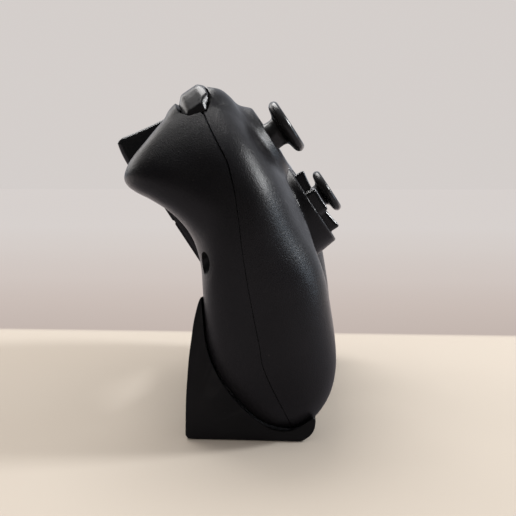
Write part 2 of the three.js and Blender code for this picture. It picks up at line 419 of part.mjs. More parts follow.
// cross pad on its rocker
place('dpad_pad', all(boxXTN(DPAD[0] - 10.5, DPAD[0] + 10.5, DPAD[1] - 7.9, DPAD[1] + 10.5, PCB_N[1] + 0.1, padTop), [[7, 0], [-7, 0], [0, 7], [0, -5.4]].map(([a, b]) => dome(DPAD[0] + a, DPAD[1] + b, 2.4, 1.8))), 'silicone');
place('dpad_rocker', turnN(DPAD[0], DPAD[1], [[0, -11.2], [2.6, -11.2], [3.6, -9.6], [3.6, -8.9], [1.4, -7.6], [0, -7.4]], 18), 'pom');
const armTop = 2.7, crossBody = slabN(crossPts(DPAD[0], DPAD[1], 11.4, 4.2), -6.6, armTop);
const dish = turnN(DPAD[0], DPAD[1], [[0, 1.6], [4, 1.75], [8, 2.15], [11, 2.75], [11, 9], [0, 9]], 20);
place('dpad_cross', cut(crossBody, dish), 'gloss');

// grip motors with their weights
function motor(side, k, r, w) {
  const x0 = 41, t = -47.5, n = -32.5;
  const can = rodX(x0, x0 + 11, t, n, 9, 24), shaft = rodX(x0 + 10.5, x0 + 19, t, n, 1, 10);
  const body2 = all(can, shaft);
  place('rumble_motor_' + side, k < 0 ? flipX(body2) : body2, 'can');
  // half disc hanging straight down in the stand
  const down = [-C, -S];
  const pts = []; for (let a = -92; a <= 92; a += 11.5) { const ca = Math.cos(a * deg), sa = Math.sin(a * deg); pts.push([t + r * (down[0] * ca - down[1] * sa), n + r * (down[1] * ca + down[0] * sa)]); }
  pts.push([t - down[0] * 2.4 - 2.4 * down[1], n - down[1] * 2.4 + 2.4 * down[0]], [t - down[0] * 2.4 + 2.4 * down[1], n - down[1] * 2.4 - 2.4 * down[0]]);
  const hang = cut(slabX(pts, x0 + 12, x0 + 12 + w), rodX(x0 + 11.5, x0 + 20, t, n, 1.3, 10));
  place('rumble_weight_' + side, k < 0 ? flipX(hang) : hang, 'weight');
}
motor('left', -1, 8.6, 6);
motor('right', 1, 7.4, 5);

// cells, cover
place('cell_upper', all(rodX(-CELL_L / 2, CELL_L / 2, -7.0, -34.2, CELL_R, 24), rodX(CELL_L / 2 - 0.2, CELL_L / 2 + 1, -7.0, -34.2, 2.7, 12)), 'cell');
place('cell_lower', all(rodX(-CELL_L / 2, CELL_L / 2, -21.6, -34.2, CELL_R, 24), rodX(-CELL_L / 2 - 1, -CELL_L / 2 + 0.2, -21.6, -34.2, 2.7, 12)), 'cell');
place('battery_contact_left', boxXTN(-29.2, -28.6, -28.5, 0, -40.5, -27), 'brass');
place('battery_contact_right', boxXTN(28.6, 29.2, -28.5, 0, -40.5, -27), 'brass');
const cover = cut(boxXTN(-30.8, 30.8, -31.9, 2.9, COVER_N, -41.6), boxXTN(-40, 40, -5.2, -3.8, -50, COVER_N + 0.5));
place('battery_cover', cover, 'shell');

// grip screws
screwAt.forEach(([x, t], i) => {
  const seat = t < -50 ? -41 : -26;
  place('grip_screw_' + (i + 1), cut(all(rodN(x, t, seat - 1.9, seat - 0.15, 2.7, 2.7, 16), rodN(x, t, seat - 0.3, gripFront(t) - (t > -50 ? 8 : 5), 1.2, 1.2, 10)), rodN(x, t, seat - 3, seat - 1.1, 1.0, 1.0, 6)), 'steel');
});

// set the whole object on the floor with its box centred in plan
const bounds = new THREE.Box3().setFromObject(root);
const shift = [-(bounds.min.x + bounds.max.x) / 2, -(bounds.min.y + bounds.max.y) / 2, -bounds.min.z];
root.children.forEach(m => {
  m.geometry.translate(...shift);
  // drop slivers thinner than a micron
  const g = mergeVertices(new THREE.BufferGeometry().setAttribute('position', m.geometry.toNonIndexed().getAttribute('position')), 1e-3);
  const whole = new Manifold(new SolidMesh({ numProp: 3, vertProperties: Float32Array.from(g.getAttribute('position').array), triVerts: Uint32Array.from(g.index.array) }));
  const parts = whole.decompose().sort((a, b) => b.volume() - a.volume());
  if (parts.length > 1) { m.geometry = surface(parts[0]); m.geometry.computeVertexNormals(); }
});
export const offset = shift;
export default root;
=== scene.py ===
import json
import math
import bpy
import numpy as np
from mathutils import Matrix, Vector


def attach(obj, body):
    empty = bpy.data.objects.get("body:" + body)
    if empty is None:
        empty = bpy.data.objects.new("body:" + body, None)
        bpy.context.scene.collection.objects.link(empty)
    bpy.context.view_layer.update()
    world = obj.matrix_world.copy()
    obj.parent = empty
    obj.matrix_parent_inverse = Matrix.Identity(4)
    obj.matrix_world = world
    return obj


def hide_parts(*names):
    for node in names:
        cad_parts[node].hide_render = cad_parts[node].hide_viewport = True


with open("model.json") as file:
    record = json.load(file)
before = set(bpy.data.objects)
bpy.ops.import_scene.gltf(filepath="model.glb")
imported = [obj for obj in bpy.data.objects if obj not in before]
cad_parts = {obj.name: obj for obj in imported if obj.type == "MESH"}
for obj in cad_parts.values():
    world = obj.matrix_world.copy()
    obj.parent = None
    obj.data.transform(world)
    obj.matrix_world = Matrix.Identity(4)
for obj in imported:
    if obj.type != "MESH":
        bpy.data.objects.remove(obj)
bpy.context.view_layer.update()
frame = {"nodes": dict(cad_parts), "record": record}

# Wireless two-handed gamepad standing in a one-piece wedge stand.
# Everything is worked out in millimetres in the pad frame (x sideways, t along
# the face towards the bumpers, n along the face normal) and then placed in the
# row frame in metres.

# ---------------------------------------------------------------- dimensions
LEAN = math.radians(33.4)
S, C = math.sin(LEAN), math.cos(LEAN)
FACE_Y, FACE_Z = -12.0415, 93.4
T_LOW, T_TOP = -80.9, 24.4
WALL, SEAM = 2.2, 0.26
LEFT_STICK, RIGHT_STICK = (-41.0, 0.4), (22.0, -25.2)
DPAD, KEYS = (-22.0, -25.2), (41.0, 0.4)
KEY_PITCH, KEY_R = 9.3, 4.9
PIVOT_N = -10.0
BOSS_R, BOSS_N = 14.8, -0.8
HINGE = (17.5, -15.0)
TRIG_R = 27.6
TRIG_X = (27.0, 48.6)
COVER_N = -43.5
CENTRE_PART = -13.4
KEY_AT = [(KEYS[0] + a * KEY_PITCH, KEYS[1] + b * KEY_PITCH) for a, b in ((0, -1), (1, 0), (-1, 0), (0, 1))]
SCREWS = [(-69, -21.5), (69, -21.5), (-54, -66), (54, -66)]


# ---------------------------------------------------------------- body field
def W(t):
    return np.arccos(np.clip((2 * t - (T_TOP + T_LOW)) / (T_TOP - T_LOW), -1, 1))


WT = np.linspace(0, math.pi, 6001)


def curve(knots):
    p = sorted((float(W(t)), v) for t, v in knots)
    w = np.array([a for a, _ in p])
    v = np.array([b for _, b in p], float)
    h = np.diff(w)
    d = np.diff(v) / h
    m = np.empty(len(p))
    m[0], m[-1] = d[0], d[-1]
    m[1:-1] = (d[:-1] * h[1:] + d[1:] * h[:-1]) / (h[:-1] + h[1:])
    i = np.clip(np.searchsorted(w, WT, side="right") - 1, 0, len(p) - 2)
    s = np.clip((WT - w[i]) / h[i], 0, 1)
    tab = ((2 * s**3 - 3 * s**2 + 1) * v[i] + (s**3 - 2 * s**2 + s) * h[i] * m[i]
           + (-2 * s**3 + 3 * s**2) * v[i + 1] + (s**3 - s**2) * h[i] * m[i + 1])
    return lambda t: np.interp(W(t), WT, tab)


grip_front = curve([(24.4, -12.5), (23.3, -7.8), (22, -6.3), (20.8, -5), (18.8, -4.3), (14, -3.9), (5, -3.5), (-5, -3.2), (-13, -3.3), (-17.2, -3.8), (-26.7, -5.6), (-37.4, -7.5), (-44.8, -9.4), (-54.4, -13), (-64.1, -17.6), (-71, -21.9), (-76.9, -27.9), (-79.8, -33.6), (-80.9, -39.8)])
grip_rear = curve([(24.4, -12.5), (24, -15.4), (23, -18.8), (21.9, -24.4), (20.7, -29.3), (18.7, -35.7), (17.1, -40.6), (15, -43.9), (13, -45.2), (10.7, -45), (8.6, -44.1), (3.5, -41), (-2.3, -38.4), (-10, -37.5), (-16.7, -38.2), (-22.1, -39.8), (-28.7, -43.4), (-34, -46.6), (-43.7, -51.8), (-52.6, -53.6), (-62.6, -53.2), (-73, -50.4), (-78.6, -45.6), (-80.9, -39.8)])
grip_outer = curve([(24.4, 50), (24, 54), (22.3, 58), (19, 62.5), (15.5, 66), (10.5, 69.8), (4.5, 73), (-1, 74.8), (-8, 76.2), (-18, 77), (-33, 76), (-45, 74.3), (-57, 71.6), (-66, 68.4), (-73, 64.6), (-77.6, 60.4), (-80, 57), (-80.9, 54)])
grip_inner = curve([(24.4, 24), (15, 20.5), (5, 19), (-10, 20), (-25, 22), (-33, 23.8), (-38.5, 26), (-43, 28.5), (-50, 31.5), (-58, 34.5), (-66, 38), (-73, 42), (-77.6, 46.5), (-80, 50.5), (-80.9, 54)])


def smin(a, b, k):
    h = np.maximum(k - np.abs(a - b), 0) / k
    return np.minimum(a, b) - h * h * k / 4


def smax(a, b, k):
    return -smin(-a, -b, k)


def block(x, t, n, c, h, r):
    qx, qt, qn = np.abs(x - c[0]) - h[0] + r, np.abs(t - c[1]) - h[1] + r, np.abs(n - c[2]) - h[2] + r
    outside = np.sqrt(np.maximum(qx, 0) ** 2 + np.maximum(qt, 0) ** 2 + np.maximum(qn, 0) ** 2)
    return outside + np.minimum(np.maximum(qx, np.maximum(qt, qn)), 0) - r


def grip(ax, t, n, w):
    mid, half = (T_LOW + T_TOP) / 2, (T_TOP - T_LOW) / 2
    s = mid + (t - mid) * half / (half - w)
    over = np.maximum(0, np.maximum(T_LOW - s, s - T_TOP))
    o, i = grip_outer(s), grip_inner(s)
    side = ax - (o + i) / 2
    # the front of the grip is fuller towards its outer side, and the rear falls away towards it beside the battery
    f = grip_front(s) + np.exp(-((s + 46) / 13) ** 2) * (0.24 * side - 0.5)
    r = grip_rear(s) + np.exp(-((s + 13) / 9) ** 2) * 0.11 * side
    a, b = np.maximum(0.05, (o - i) / 2 - w), np.maximum(0.05, (f - r) / 2 - w)
    p = 2.1 + np.clip((s + 45) / 45, 0, 1)
    q = ((np.abs(ax - (o + i) / 2) / a) ** p + (np.abs(n - (f + r) / 2) / b) ** p) ** (1 / p)
    d = (q - 1) * np.minimum(a, b)
    return np.where(over > 0, np.hypot(over, np.maximum(0, d)), d)


face_line = curve([(24.4, -3.9), (14, -3.9), (4, -3.8), (-8, -3.8), (-17.2, -4.5), (-26.7, -6.2), (-37.4, -8.5), (-44.8, -10.6), (-60, -15.5), (-80.9, -22)])


def body(x, t, n, w=0.0):
    ax = np.abs(x)
    face = face_line(t)
    centre = block(ax, t, n, (0, -7, (face - 27.1) / 2), (62 - w, 31 - w, (face + 27.1) / 2 - w), 9 - max(0, w))
    bay = block(ax, t, n, (0, -14.5, -32), (32.5 - w, 18.5 - w, 11.5 - w), 4 - min(2.2, max(0, w)))
    k = np.clip((-12 - t) / 22, 0, 1)
    return smin(smin(centre, grip(ax, t, n, w), 1.6 + 2.9 * k * k * (3 - 2 * k)), bay, 1.3)


def disc(x, t, n, at, r, n0, n1, edge, draft=0.0):
    """Round bar along n with its ends eased, wider towards its foot by the draft."""
    dr = (np.hypot(x - at[0], t - at[1]) - r - draft * (n1 - n)) / math.hypot(1, draft) + edge
    dn = np.abs(n - (n0 + n1) / 2) - (n1 - n0) / 2 + edge
    return np.hypot(np.maximum(dr, 0), np.maximum(dn, 0)) + np.minimum(np.maximum(dr, dn), 0) - edge


def left_boss(x, t, n):
    r = np.hypot(x - LEFT_STICK[0], t - LEFT_STICK[1])
    flank = (r - 10.85 + n * 0.98) * 0.714
    return smax(smax(flank, n, 0.6), -9 - n, 0.5)


def outer_field(x, t, n):
    f = body(x, t, n)
    f = smin(f, left_boss(x, t, n), 1.4)
    for at in (DPAD, RIGHT_STICK):
        f = smin(f, disc(x, t, n, at, BOSS_R, -13.2, BOSS_N, 0.45, 0.12), 1.0)
    return f


# ---------------------------------------------------------------- mesh tools
def nets(field, lo, hi, h, passes=3):
    """Smooth closed quad skin over field = 0, its points moved onto the surface."""
    lo = np.array(lo, float)
    size = np.ceil((np.array(hi, float) - lo) / h).astype(int) + 1
    ax = [lo[k] + h * np.arange(size[k]) for k in range(3)]
    F = np.array(np.broadcast_to(field(ax[0][:, None, None], ax[1][None, :, None], ax[2][None, None, :]), size), float)
    F[F == 0] = 1e-7
    N = F < 0
    count = np.zeros([s - 1 for s in size], np.int8)
    for a in (0, 1):
        for b in (0, 1):
            for c in (0, 1):
                count += N[a:size[0] - 1 + a, b:size[1] - 1 + b, c:size[2] - 1 + c]
    cells = np.argwhere((count > 0) & (count < 8))
    ids = -np.ones(count.shape, int)
    ids[tuple(cells.T)] = np.arange(len(cells))
    P, wt = np.zeros((len(cells), 3)), np.zeros(len(cells))
    for axis in range(3):
        others = [k for k in range(3) if k != axis]
        for u in (0, 1):
            for v in (0, 1):
                o = np.zeros(3, int)
                o[others[0]], o[others[1]] = u, v
                e = o.copy()
                e[axis] = 1
                fa, fb = F[tuple((cells + o).T)], F[tuple((cells + e).T)]
                m = (fa < 0) != (fb < 0)
                q = (cells[m] + o).astype(float)
                q[:, axis] += fa[m] / (fa[m] - fb[m])
                P[m] += q
                wt[m] += 1
    P = lo + h * P / wt[:, None]
    faces = []
    for axis in range(3):
        b, c = (axis + 1) % 3, (axis + 2) % 3
        first, last = [slice(None)] * 3, [slice(None)] * 3
        first[axis], last[axis] = slice(None, -1), slice(1, None)
        A, B = N[tuple(first)], N[tuple(last)]
        g = np.argwhere(A != B)
        g = g[(g[:, b] > 0) & (g[:, c] > 0) & (g[:, b] < size[b] - 1) & (g[:, c] < size[c] - 1)]
        down = A[tuple(g.T)]
        quad = []
        for db, dc in ((-1, -1), (0, -1), (0, 0), (-1, 0)):
            q = g.copy()
            q[:, b] += db
            q[:, c] += dc
            quad.append(ids[tuple(q.T)])
        quad = np.stack(quad, 1)
        quad[~down] = quad[~down][:, ::-1]
        faces.append(quad)
    faces = np.concatenate(faces)
    e = h * 0.05
    for _ in range(passes):
        x, t, n = P.T
        f = field(x, t, n)
        g = np.stack([field(x + e, t, n) - field(x - e, t, n), field(x, t + e, n) - field(x, t - e, n), field(x, t, n + e) - field(x, t, n - e)], 1) / (2 * e)
        D = g * (f / np.maximum((g * g).sum(1), 0.05))[:, None]
        far = np.linalg.norm(D, axis=1)
        D *= np.minimum(1, 0.45 * h / np.maximum(far, 1e-9))[:, None]
        P = P - D
    return P, faces


def make(verts, faces, name="piece"):
    me = bpy.data.meshes.new(name)
    me.from_pydata([tuple(v) for v in np.asarray(verts, float)], [], [tuple(int(i) for i in f) for f in faces])
    me.update()
    o = bpy.data.objects.new(name, me)
    bpy.context.scene.collection.objects.link(o)
    return o


def quads(P, F, name="piece"):
    me = bpy.data.meshes.new(name)
    me.vertices.add(len(P))
    me.vertices.foreach_set("co", np.asarray(P, np.float32).ravel())
    me.loops.add(len(F) * 4)
    me.loops.foreach_set("vertex_index", np.asarray(F, np.int32).ravel())
    me.polygons.add(len(F))
    me.polygons.foreach_set("loop_start", np.arange(0, len(F) * 4, 4, dtype=np.int32))
    me.update(calc_edges=True)
    me.validate()
    o = bpy.data.objects.new(name, me)
    bpy.context.scene.collection.objects.link(o)
    return o


def net_piece(field, lo, hi, h, name="piece", passes=3):
    P, F = nets(field, lo, hi, h, passes)
    return quads(P, F, name)


def loft(rings, name="tool"):
    """Closed skin over equal closed rings, with flat ends."""
    M, v, f = len(rings[0]), [], []
    for r in rings:
        v.extend(r)
    for i in range(len(rings) - 1):
        for j in range(M):
            a, b = i * M + j, i * M + (j + 1) % M
            f.append((a, b, b + M, a + M))
    f.append(tuple(range(M - 1, -1, -1)))
    k = (len(rings) - 1) * M
    f.append(tuple(range(k, k + M)))
    return outward(make(v, f, name))


def outward(o):
    import bmesh
    bm = bmesh.new()
    bm.from_mesh(o.data)
    bmesh.ops.recalc_face_normals(bm, faces=bm.faces)
    bm.to_mesh(o.data)
    bm.free()
    return o


def lathe(x, t, profile, seg=64, name="piece"):
    """Turned piece about an axis along n, from a profile of (radius, n) that starts and ends on the axis."""
    v, f, rows = [], [], []
    for r, n in profile:
        if r < 1e-6:
            rows.append([len(v)])
            v.append((x, t, n))
        else:
            rows.append(list(range(len(v), len(v) + seg)))
            v.extend((x + r * math.cos(2 * math.pi * k / seg), t + r * math.sin(2 * math.pi * k / seg), n) for k in range(seg))
    for a, b in zip(rows, rows[1:]):
        for k in range(seg):
            l = (k + 1) % seg
            if len(a) == 1 and len(b) == 1:
                continue
            if len(a) == 1:
                f.append((a[0], b[l], b[k]))
            elif len(b) == 1:
                f.append((a[k], a[l], b[0]))
            else:
                f.append((a[k], a[l], b[l], b[k]))
    return outward(make(v, f, name))


def eased(points, radii, steps=5, closed=False):
    """A line of straight runs with its corners rounded by the radii given."""
    out, n = [], len(points)
    for i, p in enumerate(points):
        r = radii[i] if isinstance(radii, (list, tuple)) else radii
        if (not closed and i in (0, n - 1)) or r <= 0:
            out.append(tuple(p))
            continue
        p = np.array(p, float)
        a, b = np.array(points[i - 1], float) - p, np.array(points[(i + 1) % n], float) - p
        la, lb = np.linalg.norm(a), np.linalg.norm(b)
        a, b = a / la, b / lb
        cosang = float(np.clip(a @ b, -1, 1))
        half = math.acos(cosang) / 2
        if half > math.radians(88.5):
            out.append(tuple(p))
            continue
        d = min(r / math.tan(half), 0.48 * la, 0.48 * lb)
        s, e = p + a * d, p + b * d
        for k in range(steps + 1):
            u = k / steps
            out.append(tuple((1 - u) ** 2 * s + 2 * u * (1 - u) * p + u * u * e))
    return out


def smooth_line(points, per=6, closed=False):
    """Catmull-Rom line through the points."""
    P = np.array(points, float)
    n = len(P)
    get = (lambda i: P[i % n]) if closed else (lambda i: P[min(max(i, 0), n - 1)])
    out = []
    for i in range(n if closed else n - 1):
        p0, p1, p2, p3 = get(i - 1), get(i), get(i + 1), get(i + 2)
        for k in range(per):
            u = k / per
            out.append(0.5 * (2 * p1 + (p2 - p0) * u + (2 * p0 - 5 * p1 + 4 * p2 - p3) * u * u + (3 * p1 - p0 - 3 * p2 + p3) * u**3))
    if not closed:
        out.append(P[-1])
    return [tuple(p) for p in out]


def inset(points, d):
    """A closed outline moved inwards by d."""
    P = np.array(points, float)
    area = 0.5 * np.sum(P[:, 0] * np.roll(P[:, 1], -1) - np.roll(P[:, 0], -1) * P[:, 1])
    a, b = P - np.roll(P, 1, 0), np.roll(P, -1, 0) - P
    a /= np.maximum(np.linalg.norm(a, axis=1), 1e-9)[:, None]
    b /= np.maximum(np.linalg.norm(b, axis=1), 1e-9)[:, None]
    na, nb = np.stack([-a[:, 1], a[:, 0]], 1), np.stack([-b[:, 1], b[:, 0]], 1)
    m = na + nb
    m /= np.maximum((m * m).sum(1) / 2, 0.35)[:, None]
    return P + m * d * (1 if area > 0 else -1)


def prism(outline, a0, a1, bevel=0.0, steps=4, axis="x", name="piece"):
    """Outline carried along an axis, with both ends rounded over by bevel."""
    lay = {"x": lambda p, a: (a, p[0], p[1]), "n": lambda p, a: (p[0], p[1], a), "t": lambda p, a: (p[0], a, p[1])}[axis]
    rings = []
    if bevel > 0:
        for k in range(steps + 1):
            q = k / steps * math.pi / 2
            rings.append((a0 + bevel * (1 - math.sin(q)), bevel * (1 - math.cos(q))))
        rings = rings[::-1]
        rings += [(a1 + a0 - a, d) for a, d in rings[::-1]]
    else:
        rings = [(a0, 0), (a1, 0)]
    return loft([[lay(p, a) for p in inset(outline, d)] for a, d in rings], name)


def box(x0, x1, t0, t1, n0, n1, r=0.0, name="tool"):
    pts = [(x0, t0), (x1, t0), (x1, t1), (x0, t1)]
    return prism(eased(pts, r, 5, True) if r else pts, n0, n1, 0, axis="n", name=name)


def rod_n(x, t, n0, n1, r0, r1=None, seg=48):
    r1 = r0 if r1 is None else r1
    return lathe(x, t, [(0, n0), (r0, n0), (r1, n1), (0, n1)], seg, "tool")


def rod_x(x0, x1, t, n, r, seg=32):
    ring = [(t + r * math.cos(2 * math.pi * k / seg), n + r * math.sin(2 * math.pi * k / seg)) for k in range(seg)]
    return prism(ring, x0, x1, 0, name="tool")


def settle(o):
    """The piece's modifiers applied to its mesh."""
    bpy.context.view_layer.update()
    dg = bpy.context.evaluated_depsgraph_get()
    me = bpy.data.meshes.new_from_object(o.evaluated_get(dg), preserve_all_data_layers=False, depsgraph=dg)
    old = o.data
    o.modifiers.clear()
    o.data = me
    bpy.data.meshes.remove(old)
    return o


def combine(op, a, *tools, keep=False):
    for tool in tools:
        m = a.modifiers.new("op", "BOOLEAN")
        m.operation, m.solver, m.object = op, "MANIFOLD", tool
        before = len(a.data.polygons)
        settle(a)
        if len(a.data.polygons) == 0:
            raise RuntimeError(f"{op} of {a.name} with {tool.name} left nothing (had {before} faces)")
        if not keep:
            bpy.data.objects.remove(tool)
    return a


def cut(a, *tools, keep=False):
    return combine("DIFFERENCE", a, *tools, keep=keep)


def join(a, *tools, keep=False):
    return combine("UNION", a, *tools, keep=keep)


def meet(a, *tools, keep=False):
    return combine("INTERSECT", a, *tools, keep=keep)


def copy(o, name=None):
    c = o.copy()
    c.data = o.data.copy()
    if name:
        c.name = name
    bpy.context.scene.collection.objects.link(c)
    return c


def mirrored(o, name):
    c = copy(o, name)
    c.data.transform(Matrix.Scale(-1, 4, (1, 0, 0)))
    c.data.flip_normals()
    return c


def coords(o):
    co = np.empty(len(o.data.vertices) * 3, np.float32)
    o.data.vertices.foreach_get("co", co)
    return co.reshape(-1, 3).astype(float)


def set_coords(o, P):
    o.data.vertices.foreach_set("co", np.asarray(P, np.float32).ravel())
    o.data.update()


def to_world_mm(P):
    x, t, n = P.T
    return np.stack([x, FACE_Y + S * t - C * n, FACE_Z + C * t + S * n], 1)


def piece(o, name, mat, rides, nodes=(), world=False, angle=34):
    """Places a finished mesh in the row frame and says what it stands for."""
    P = coords(o)
    set_coords(o, (P if world else to_world_mm(P)) * 0.001)
    o.name = name
    o.data.name = name
    o.data.materials.clear()
    o.data.materials.append(MATS[mat])
    o.data.shade_smooth()
    mark_sharp(o, angle)
    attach(o, rides)
    if nodes:
        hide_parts(*nodes)
    return o


def mark_sharp(o, angle):
    import bmesh
    bm = bmesh.new()
    bm.from_mesh(o.data)
    lim = math.radians(angle)
    for e in bm.edges:
        if len(e.link_faces) == 2:
            e.smooth = e.calc_face_angle(0) < lim
    bm.to_mesh(o.data)
    bm.free()
    o.data.update()


# ---------------------------------------------------------------- materials
MATS = {}


def ramp(nt, src, stops):
    r = nt.nodes.new("ShaderNodeValToRGB")
    els = r.color_ramp.elements
    els[0].position, els[0].color = stops[0][0], (*stops[0][1], 1)
    els[1].position, els[1].color = stops[-1][0], (*stops[-1][1], 1)
    for p, c in stops[1:-1]:
        e = els.new(p)
        e.color = (*c, 1)
    nt.links.new(src, r.inputs[0])
    return r.outputs[0]


def spread(nt, src, lo, hi, a=0.3, b=0.7):
    m = nt.nodes.new("ShaderNodeMapRange")
    m.inputs["From Min"].default_value, m.inputs["From Max"].default_value = a, b
    m.inputs["To Min"].default_value, m.inputs["To Max"].default_value = lo, hi
    nt.links.new(src, m.inputs["Value"])
    return m.outputs[0]


def noise(nt, vec, scale, detail=3.0, rough=0.55, distort=0.0):
    n = nt.nodes.new("ShaderNodeTexNoise")
    n.inputs["Scale"].default_value = scale
    n.inputs["Detail"].default_value = detail
    n.inputs["Roughness"].default_value = rough
    n.inputs["Distortion"].default_value = distort
    nt.links.new(vec, n.inputs["Vector"])
    return n.outputs["Fac"]


def math_node(nt, op, a, b):
    m = nt.nodes.new("ShaderNodeMath")
    m.operation = op
    for k, v in enumerate((a, b)):
        if isinstance(v, (int, float)):
            m.inputs[k].default_value = v
        else:
            nt.links.new(v, m.inputs[k])
    return m.outputs[0]


def bump(nt, height, strength, distance, under=None):
    b = nt.nodes.new("ShaderNodeBump")
    b.inputs["Strength"].default_value = strength
    b.inputs["Distance"].default_value = distance
    nt.links.new(height, b.inputs["Height"])
    if under is not None:
        nt.links.new(under, b.inputs["Normal"])
    return b.outputs[0]


def start(name):
    m = bpy.data.materials.new(name)
    m.use_nodes = True
    nt = m.node_tree
    bsdf = next(n for n in nt.nodes if n.type == "BSDF_PRINCIPLED")
    co = nt.nodes.new("ShaderNodeTexCoord").outputs["Object"]
    MATS[name] = m
    return m, nt, bsdf, co


def plastic(name, dark, light, rough, grain, grain_depth, specks=0.0, wear=0.0, coat=0.0, coat_rough=0.1, spec=0.5, smudge=0.0):
    """Moulded plastic: drifting colour, uneven gloss, a moulded grain, fine dust and paler rubbed edges."""
    m, nt, bsdf, co = start(name)
    colour = ramp(nt, noise(nt, co, 38, 4, 0.6), [(0.3, dark), (0.72, light)])
    if specks:
        v = nt.nodes.new("ShaderNodeTexVoronoi")
        v.inputs["Scale"].default_value = 620
        v.inputs["Randomness"].default_value = 1
        nt.links.new(co, v.inputs["Vector"])
        dots = math_node(nt, "MULTIPLY", spread(nt, v.outputs["Distance"], 1, 0, 0.035, 0.075), spread(nt, noise(nt, co, 210, 2), 0, 1, 0.60, 0.66))
        mix = nt.nodes.new("ShaderNodeMix")
        mix.data_type = "RGBA"
        nt.links.new(math_node(nt, "MULTIPLY", dots, specks), mix.inputs["Factor"])
        nt.links.new(colour, mix.inputs["A"])
        mix.inputs["B"].default_value = (0.22, 0.21, 0.2, 1)
        colour = mix.outputs["Result"]
    if wear:
        geo = nt.nodes.new("ShaderNodeNewGeometry")
        edge = math_node(nt, "MULTIPLY", spread(nt, geo.outputs["Pointiness"], 0, 1, 0.54, 0.66), spread(nt, noise(nt, co, 260, 4), 0.15, 1, 0.35, 0.7))
        mix = nt.nodes.new("ShaderNodeMix")
        mix.data_type = "RGBA"
        nt.links.new(math_node(nt, "MULTIPLY", edge, wear), mix.inputs["Factor"])
        nt.links.new(colour, mix.inputs["A"])
        mix.inputs["B"].default_value = (0.075, 0.075, 0.078, 1)
        colour = mix.outputs["Result"]
    nt.links.new(colour, bsdf.inputs["Base Color"])
    r = spread(nt, noise(nt, co, 55, 5, 0.6, 0.4), rough[0], rough[1], 0.32, 0.68)
    if smudge:
        r = math_node(nt, "ADD", r, math_node(nt, "MULTIPLY", spread(nt, noise(nt, co, 130, 6, 0.7, 1.2), 0, 1, 0.5, 0.75), smudge))
    nt.links.new(r, bsdf.inputs["Roughness"])
    n = None
    if grain:
        fine = noise(nt, co, grain, 2, 0.6)
        n = bump(nt, fine, 1.0, grain_depth)
    n = bump(nt, noise(nt, co, 95, 3), 0.35, 0.00004, n)
    nt.links.new(n, bsdf.inputs["Normal"])
    bsdf.inputs["Specular IOR Level"].default_value = spec
    if coat:
        bsdf.inputs["Coat Weight"].default_value = coat
        bsdf.inputs["Coat Roughness"].default_value = coat_rough
    return m


def metal(name, dark, light, rough, brushed=True):
    m, nt, bsdf, co = start(name)
    mapping = nt.nodes.new("ShaderNodeMapping")
    mapping.inputs["Scale"].default_value = (60, 900, 900) if brushed else (400, 400, 400)
    nt.links.new(co, mapping.inputs["Vector"])
    streak = noise(nt, mapping.outputs[0], 3, 4)
    nt.links.new(ramp(nt, noise(nt, co, 240, 4), [(0.3, dark), (0.7, light)]), bsdf.inputs["Base Color"])
    nt.links.new(spread(nt, streak, rough[0], rough[1]), bsdf.inputs["Roughness"])
    nt.links.new(bump(nt, streak, 0.5, 0.00001), bsdf.inputs["Normal"])
    bsdf.inputs["Metallic"].default_value = 1.0
    return m


def soft(name, dark, light, rough, scale, depth, sub=0.0):
    m, nt, bsdf, co = start(name)
    nt.links.new(ramp(nt, noise(nt, co, 120, 4), [(0.3, dark), (0.7, light)]), bsdf.inputs["Base Color"])
    nt.links.new(spread(nt, noise(nt, co, 300, 4), rough[0], rough[1]), bsdf.inputs["Roughness"])
    nt.links.new(bump(nt, noise(nt, co, scale, 3), 0.7, depth), bsdf.inputs["Normal"])
    bsdf.inputs["Sheen Weight"].default_value = 0.15
    bsdf.inputs["Sheen Roughness"].default_value = 0.5
    return m


plastic("shell", (0.0030, 0.0026, 0.0036), (0.0060, 0.0053, 0.0066), (0.30, 0.40), 2300, 0.00009, specks=0.6, wear=0.35, spec=0.42, smudge=0.05)
plastic("stand", (0.0040, 0.0038, 0.0048), (0.0075, 0.0070, 0.0080), (0.44, 0.54), 3000, 0.00003, specks=0.6, wear=0.5, spec=0.25, smudge=0.05)
plastic("gloss", (0.004, 0.004, 0.0045), (0.007, 0.007, 0.0075), (0.10, 0.17), 0, 0, specks=0.25, wear=0.25, coat=0.6, coat_rough=0.06, spec=0.5, smudge=0.09)
plastic("satin", (0.0035, 0.0033, 0.0040), (0.0065, 0.0062, 0.0070), (0.24, 0.32), 2600, 0.00003, specks=0.4, wear=0.3, coat=0.12, coat_rough=0.12, spec=0.45, smudge=0.06)
plastic("cap", (0.006, 0.006, 0.0065), (0.012, 0.0118, 0.012), (0.24, 0.33), 5200, 0.000012, specks=0.4, wear=0.35, coat=0.25, coat_rough=0.15, spec=0.5, smudge=0.08)
soft("rubber", (0.010, 0.010, 0.010), (0.022, 0.021, 0.020), (0.7, 0.9), 1800, 0.00008)
soft("silicone", (0.22, 0.24, 0.26), (0.30, 0.32, 0.34), (0.5, 0.7), 900, 0.00004)
plastic("pom", (0.60, 0.59, 0.53), (0.70, 0.69, 0.63), (0.32, 0.46), 1500, 0.00001, spec=0.5)
metal("steel", (0.42, 0.43, 0.45), (0.56, 0.57, 0.59), (0.22, 0.38))
metal("can", (0.33, 0.34, 0.36), (0.45, 0.46, 0.48), (0.25, 0.42))
metal("weight", (0.20, 0.21, 0.22), (0.32, 0.33, 0.34), (0.35, 0.55), False)
metal("brass", (0.50, 0.34, 0.10), (0.66, 0.47, 0.16), (0.22, 0.4))
plastic("cell", (0.012, 0.026, 0.085), (0.020, 0.040, 0.12), (0.18, 0.3), 0, 0, coat=0.4, coat_rough=0.08)


